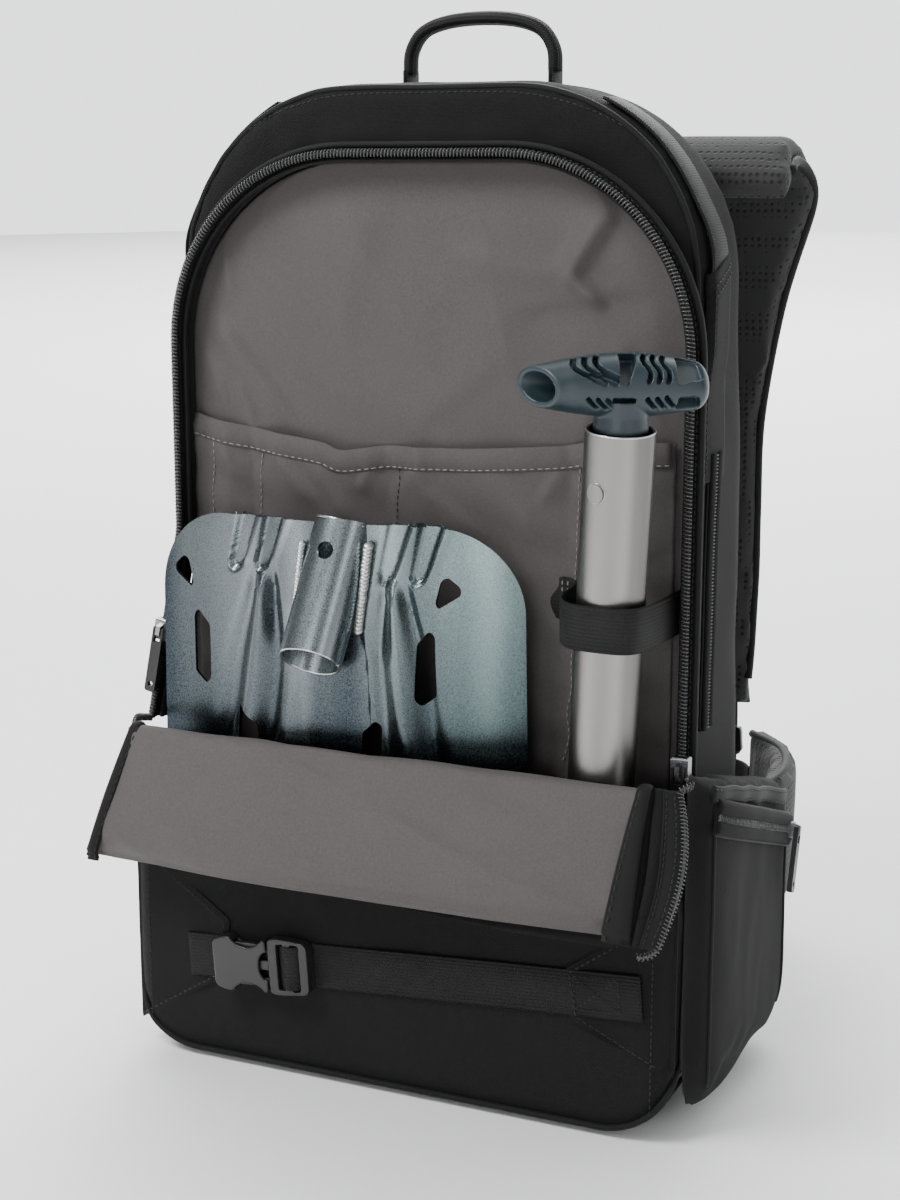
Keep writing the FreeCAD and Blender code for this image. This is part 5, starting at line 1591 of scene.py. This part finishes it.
def side_pockets():
    for side, name in ((1, "right"), (-1, "left")):
        made = remesh(node_mesh("SidePocket" + name.title(), "side_pocket_" + name), 4.5 * MM)
        inflate(made, 3.5, 3.2 * MM)
        inner = 147.6 * MM
        points = coords(made)
        points[:, 0] = np.where(side * points[:, 0] < inner, side * inner, points[:, 0])
        points[:, 2] = np.maximum(points[:, 2], 4 * MM)
        back, front = 60, (-88 if side > 0 else -40)
        for axis, edge, reach, depth in ((1, front, 46, 15), (2, 4, 30, 9)):
            near = np.clip((edge + reach - points[:, axis] / MM) / reach, 0, 1)
            turn = depth * (1 - np.sqrt(1 - near ** 2)) * MM
            out = abs(points[:, 0])
            points[:, 0] = side * np.maximum(out - turn, np.minimum(out, 159.2 * MM))
        set_coords(made, points)
        wrinkle(made, 1.1 * MM, 30, 3.0 + side, stretch=(1, 1.4, 0.5),
                where=lambda p: smoothstep(0.150, 0.160, abs(p[0])))
        refine(made)
        dress(made, M["shell"], "pack", "shell_fabric")
        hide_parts("side_pocket_" + name)
        top_back, top_front = 152, (196 if side > 0 else 182)
        slope = (top_front - top_back) / (front - back)
        top = [mm(side * 180, y, top_back + slope * (y - back) - 6.0) for y in range(front + 6, back - 3, 3)]
        hem = hug(top, made, 0.0012, 8)
        strip("PocketHem" + name.title(), hem, Vector((0, 0.25, 1)).normalized(), 0.009, 0.0016,
              M["binding"], "pack", "shell_fabric", crown=0.0005)
        lines = [[p + mm(side * 1.3, 0, off) for p in hem] for off in (-3.0, 2.6)]
        stitches("PocketHemStitches" + name.title(), lines, Vector((side, 0, 0)), M["thread_dark"], "pack",
                 "shell_fabric", pitch=0.0034, length=0.0024, radius=0.0004)
        seams = [hug([mm(side * 180, y, z) for z in range(22, int(high) - 16, 4)], made, 0.0002, 3)
                 for y, high in ((front + 9, top_front), (back - 9, top_back))]
        for label, seam in zip(("Front", "Back"), seams):
            tube("PocketSeam" + label + name.title(), seam, 0.0011, M["binding"], "pack", "shell_fabric", 8)
        if side > 0:
            right = made
    return right


def hidden_zipper(line, across):
    """A zipper under two wide welts that nearly meet: tape, two coils and the welts, along a line on the
    cloth."""
    heads = tangents(line)
    outs = [(h.cross(across)).normalized() for h in heads]
    if outs[0].x * line[0].x < 0:
        outs = [-o for o in outs]

    def at(out, aside):
        return [p + o * (out * MM) + across * (aside * MM) for p, o in zip(line, outs)]

    tape = strip_mesh(at(0.5, 0), across, 0.019, 0.0012)[:2]
    coils = joined([coil_parts(at(1.9, aside), outs[0], radius=0.00085, pitch=0.0018, wire=0.00034)
                    for aside in (-0.75, 0.75)])
    welts = joined([strip_mesh(at(1.7, side * 4.9), across, 0.0072, 0.0022, 0.0007)[:2] for side in (-1, 1)])
    return tape, coils, welts


def side_zippers(shell, pocket):
    """The side pocket's sloping zipper, and the main compartment's zipper along each side."""
    slope = math.radians(19)
    across = Vector((0, math.sin(slope), math.cos(slope)))
    runs = [(hug([mm(176, a * math.cos(slope), 144 - a * math.sin(slope)) for a in range(-84, 56, 3)], pocket,
                 0.0011, 8), across)]
    for side in (1, -1):
        runs.append((hug([mm(side * 152, -20, z) for z in range(200, 345, 3)], shell, 0.0, 3), BACKWARD))
    tapes, coils, welts = zip(*(hidden_zipper(line, across) for line, across in runs))
    piece("SideZipperTapes", *joined(tapes), M["binding"], "pack", "zipper_tape")
    coil = piece("SideZipperCoils", *joined(coils), M["coil"], "pack", "zipper_coil")
    piece("SideZipperWelts", *joined(welts), M["shell"], "pack", "shell_fabric")
    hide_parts("side_zippers")


# ---------------------------------------- the pack's body


def back_y(z):
    return 80 - 38 * (z - 3) / 525


def main_shell():
    made = remesh(hull_mesh("PackBody", "main_shell"), 7 * MM)
    inflate(made, 8.0, 7 * MM)
    points = coords(made)
    front = points[:, 1] < -43.5 * MM
    held = (np.abs(points[:, 0]) < 150 * MM) & (points[:, 2] < 494 * MM)
    points[:, 1] = np.where(front & held, np.maximum(points[:, 1], -44.6 * MM), points[:, 1])
    points[:, 1] = np.minimum(points[:, 1], (back_y(points[:, 2] / MM) + 3.0) * MM)
    points[:, 2] = np.maximum(points[:, 2], 1.5 * MM)
    beside = points[:, 2] < 200 * MM
    points[:, 0] = np.where(beside, np.clip(points[:, 0], -147.4 * MM, 147.4 * MM), points[:, 0])
    set_coords(made, points)

    def free(p):
        return smoothstep(0.0, 0.03, p[1] + 0.043) * smoothstep(0.18, 0.23, p[2])

    wrinkle(made, 2.2 * MM, 16, 1.3, stretch=(1.0, 0.8, 0.6), where=free)
    refine(made)
    dress(made, M["shell"], "pack", "shell_fabric")
    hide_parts("main_shell")
    for name, inset in (("Front", 0.6), ("Back", 4.0)):
        half, top, radius = 147 - inset, 528 - inset, 100 - inset
        line = [(half, 205), (half, top - radius)]
        line += [(half - radius + radius * math.cos(math.radians(a)),
                  top - radius + radius * math.sin(math.radians(a))) for a in range(6, 91, 6)]
        line += [(-x, z) for x, z in reversed(line)]
        points = [mm(x, -44.0 if name == "Front" else back_y(z) - 7.0, z) for x, z in line]
        tube("ShellPiping" + name, hug(spread(points, 260), made, 0.0006, 4), 0.0017, M["binding"], "pack",
             "shell_fabric", 8)
    panel = [mm(x, -45.6, z) for x, z in ((-118, 503), (-60, 519.5), (0, 522), (60, 519.5), (118, 503))]
    stitches("TopSeam", [hug(curve_through(panel, 60), made, 0.0004)], FORWARD, M["thread_dark"], "pack",
             "shell_fabric")
    return made


def base_panel():
    made = remesh(node_mesh("BasePanel", "base_panel"), 2.2 * MM)
    modify(made, "SMOOTH", factor=0.5, iterations=2)
    dress(made, M["binding"], "pack", "shell_fabric")
    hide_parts("base_panel")


def ski_loops(shell):
    """Webbing over each top corner. Its lower end runs in behind a sewn patch."""
    for side, name in ((1, "Right"), (-1, "Left")):
        corner = 100
        path = [(47 + corner * math.cos(math.radians(a)), 428 + corner * math.sin(math.radians(a)))
                for a in range(64, 0, -6)] + [(147.5, 420), (147.5, 404), (147.5, 384)]
        flat = spread([mm(side * x, -23.5, z) for x, z in path], 90)
        lifts = [(1.6 + 2.6 * bell(p.z * 1000 - 446, 16)) * MM for p in flat]
        line = [Vector((p.x, -0.0235, p.z)) for p in hug(flat, shell, lifts, 6)]
        made = strip("SkiLoop" + name, line, BACKWARD, 0.025, 0.0017, M["web"], "pack", "webbing")
        if side > 0:
            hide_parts("ski_loops")

        def patch(u, v):
            y = -39 + u * 33
            z = 330 + v * (103 + 12 * u)
            at = mm(side * 152, y, z)
            held = smoothstep(0.0, 0.14, min(u, 1 - u, v * 1.4))
            return hug([at], shell, (0.6 + 3.2 * held * smoothstep(370, 400, z)) * MM, 0)[0]

        patch_piece = grid_piece("SkiLoopPatch" + name, patch, 16, 40)
        thicken(patch_piece, 1.3 * MM, offset=1.0)
        dress(patch_piece, M["shell"], "pack", "shell_fabric")
        rows = [hug([mm(side * 156, -38 + 31 * k / 12, z + k) for k in range(13)], patch_piece, 0.0004, 1)
                for z in (422, 427)]
        rows.append(hug([mm(side * 156, -36.5, z) for z in range(334, 428, 4)], patch_piece, 0.0004, 1))
        stitches("SkiLoopStitches" + name, rows, Vector((side, 0, 0)), M["thread_dark"], "pack",
                 "shell_fabric")


# ---------------------------------------- carrying side


def shoulder_straps():
    side_path = [(56, 468), (82, 493), (107, 478), (123, 400), (126, 320), (120, 250), (108, 178)]
    for side, name in ((1, "right"), (-1, "left")):
        made = remesh(node_mesh("Shoulder" + name.title(), "shoulder_strap_" + name), 4.0 * MM)
        inflate(made, 2.5, 2.2 * MM)
        wrinkle(made, 0.7 * MM, 26, 5.0 + side)
        refine(made)
        dress(made, M["mesh"], name + "_strap", "padding")
        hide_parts("shoulder_strap_" + name)
        body = name + "_strap"
        shape = made.data
        border = boundary_line(shape, side_path)
        for label, line in border:
            tube(f"Strap{name.title()}{label}", line, 0.0028, M["binding"], body, "shell_fabric", 8)
        path = [(110.0, 190), (112.2, 181), (113.4, 172), (113.8, 160), (114, 150), (110, 135), (106, 120),
                (102, 108), (99, 98)]
        line = curve_through([mm(side * 116, y + 0.4, z) for y, z in path], 50)
        made = strip("LoadStrap" + name.title(), line, ACROSS, 0.022, 0.0016, M["web"], body, "webbing")
        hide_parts("strap_webbing_" + name)
        ladder_lock(side, name, body)


def boundary_line(mesh, side_path):
    """Edge binding along the pad's inner and outer side, taken from the pad's own widest points."""
    verts = np.array([tuple(v.co) for v in mesh.vertices]) * 1000
    middle = curve_through([Vector((0, y, z)) for y, z in side_path], 40)
    inner, outer = [], []
    for spot, head in zip(middle[2:-2], tangents(middle)[2:-2]):
        offset = (verts[:, 1] - spot.y) * head.y + (verts[:, 2] - spot.z) * head.z
        gap = np.hypot(verts[:, 1] - spot.y, verts[:, 2] - spot.z)
        near = verts[(np.abs(offset) < 4) & (gap < 24)]
        if len(near) < 8:
            continue
        low, high = near[np.argmin(near[:, 0])], near[np.argmax(near[:, 0])]
        inner.append(mm(*low))
        outer.append(mm(*high))
    lines = []
    for label, points in (("Inner", inner), ("Outer", outer)):
        array = np.array([tuple(p) for p in points])
        for _ in range(3):
            array[1:-1] = (array[:-2] + 2 * array[1:-1] + array[2:]) / 4
        lines.append((label, curve_through([Vector(p) for p in array], 90)))
    return lines


def ladder_lock(side, name, body):
    """Three-bar adjuster, its front lip lifted."""
    def at(a, b, depth):
        return mm(side * (116 + a), 107 + depth, 157.8 + b)

    plate = prism("LadderLock", rounded([(-15.6, -7.6), (15.6, -7.6), (14.6, 7.6), (-14.6, 7.6)], 2.6), 0.3,
                  4.6, at)
    slots = [prism("Gap", rounded([(-11.6, low), (11.6, low), (11.6, low + 3.4), (-11.6, low + 3.4)], 1.0),
                   -3, 8, at)
             for low in (-5.4, 1.6)]
    lip = prism("Lip", rounded([(-13.5, -9.6), (13.5, -9.6), (14.2, -6.6), (-14.2, -6.6)], 1.2), 2.0, 6.4, at)
    for tool in (plate, lip, *slots):
        outward(tool)
    carve(plate, *slots)
    made = merge("LadderLock" + name.title(), plate, lip)
    remesh(made, 0.0006)
    modify(made, "SMOOTH", factor=0.5, iterations=3)
    dress(made, M["puller"], body, "buckle_plastic")
    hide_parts("ladder_lock_" + name)


def hip_belt():
    for side, name in ((1, "right"), (-1, "left")):
        body = name + "_wing"
        pad("HipWing" + name.title(), "hip_wing_" + name, 4.0 * MM, 2.5, 2.2 * MM, M["mesh"], body,
            "padding", 0.0007)
        path = [(104, 228), (98, 237), (90, 242.5), (79, 246), (60, 248), (36, 248), (28, 248)]
        line = curve_through([mm(side * x, y + 0.4, 86) for x, y in path], 70)
        made = strip("HipWebbing" + name.title(), line, UPWARD, 0.038, 0.0018, M["web"], body, "webbing")
        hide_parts("hip_webbing_" + name)
        for label, z in (("Low", 45.5), ("High", 126.5)):
            edge = ((126, 92), (138, 108), (144, 156), (132, 202), (104, 232))
            rim = curve_through([mm(side * x, y, z) for x, y in edge], 70)
            tube(f"Wing{label}{name.title()}", rim, 0.0026, M["binding"], body, "shell_fabric", 8)


def back_and_lumbar():
    pad("BackPanel", "back_panel", 5 * MM, 2.5, 3 * MM, M["mesh"], "pack", "padding", 0.0008)
    pad("LumbarPad", "lumbar_pad", 4 * MM, 2.5, 3 * MM, M["mesh"], "pack", "padding", 0.0008)
    for x in (-62, 0, 62):
        line = [mm(x, back_y(z) + 18.4, z) for z in range(150, 396, 5)]
        tube(f"BackChannel{x + 62}", line, 0.0016, M["binding"], "pack", "shell_fabric", 8)


def grab_handle():
    path = [(-42, 534), (-41, 546), (-34, 556), (-20, 561), (0, 562.5), (20, 561), (34, 556), (41, 546),
            (42, 534)]
    line = curve_through([mm(x, 26, z) for x, z in path], 70)
    made = strip("GrabHandle", line, BACKWARD, 0.012, 0.0056, M["web"], "handle_loop", "webbing", crown=0.001)
    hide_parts("grab_handle")
    for side in (-1, 1):
        base = [mm(side * 42, 26, z) for z in (536, 532, 529, 525)]
        strip(f"HandleTab{side + 1}", base, BACKWARD, 0.018, 0.002, M["web"], "pack", "webbing")


def trigger_handle():
    """The pull handle on the left shoulder strap: a T bar with finger ridges."""
    made = remesh(node_mesh("TriggerHandle", "trigger_handle"), 0.9 * MM)
    points = coords(made)
    middle = points.mean(axis=0)
    ridge = np.sin((points[:, 2]) / MM * 2 * math.pi / 6.5) * 0.45 * MM
    inside = (points[:, 2] > 308 * MM) & (points[:, 2] < 352 * MM)
    away = np.sign(points[:, 0] - middle[0]) * (np.abs(points[:, 0] - middle[0]) > 12 * MM)
    points[:, 0] += np.where(inside, ridge * away, 0)
    set_coords(made, points)
    modify(made, "SMOOTH", factor=0.5, iterations=3)
    dress(made, M["trigger"], "trigger", "trigger_plastic")
    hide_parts("trigger_handle")


# ---------------------------------------- what is inside, and CAD parts that stay


def airbag():
    made = remesh(node_mesh("Airbag", "airbag"), 5 * MM)
    inflate(made, 2.0, 3 * MM)
    wrinkle(made, 3.0 * MM, 26, 2.2, stretch=(0.3, 1.8, 1.8))
    refine(made)
    dress(made, M["airbag"], "pack", "airbag_fabric")
    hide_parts("airbag")


def finish_cad_nodes():
    looks = {"shovel_shaft": "tube", "inner_shaft": "tube", "spring_button": "tube",
             "slider_right": "gunmetal", "slider_left": "gunmetal", "side_slider": "gunmetal",
             "puller_right": "puller", "puller_left": "puller", "side_puller": "puller",
             "gas_canister": "paint", "inflator_head": "machined", "piercing_pin": "steel",
             "inflation_hose": "rubber", "trigger_cable": "rubber", "frame_sheet": "puller",
             "frame_stays": "machined", "hip_buckle_frame": "steel", "hip_buckle_tongue": "steel"}
    for name, look in looks.items():
        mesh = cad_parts[name].data
        mesh.materials.clear()
        mesh.materials.append(M[look])


def inner_materials():
    M["airbag"] = woven("AirbagNylon", (0.55, 0.07, 0.02), 0.0005, False, 0.5, 0.3, 0.2, 0.00004)
    M["paint"] = metal("CanisterPaint", (0.5, 0.5, 0.49), 0.45, 700, 0.00002)
    M["machined"] = metal("MachinedAlloy", (0.6, 0.6, 0.62), 0.28, 900, 0.00002, 0.8)
    M["rubber"] = moulded("HoseRubber", (0.02, 0.02, 0.02), 0.7, 900, 0.00004)


def build():
    make_materials()
    inner_materials()
    studio()
    camera()
    finish_cad_nodes()
    lining_wall()
    sleeve()
    opening_edge()
    blade()
    blade_socket()
    weld_beads()
    shaft_details()
    grip()
    shaft_strap()
    tool_pocket()
    flap()
    flap_edges()
    flap_hinge()
    strap_wings()
    board_strap()
    buckle()
    pocket = side_pockets()
    shell = main_shell()
    side_zippers(shell, pocket)
    base_panel()
    ski_loops(shell)
    shoulder_straps()
    hip_belt()
    back_and_lumbar()
    grab_handle()
    trigger_handle()
    airbag()


build()
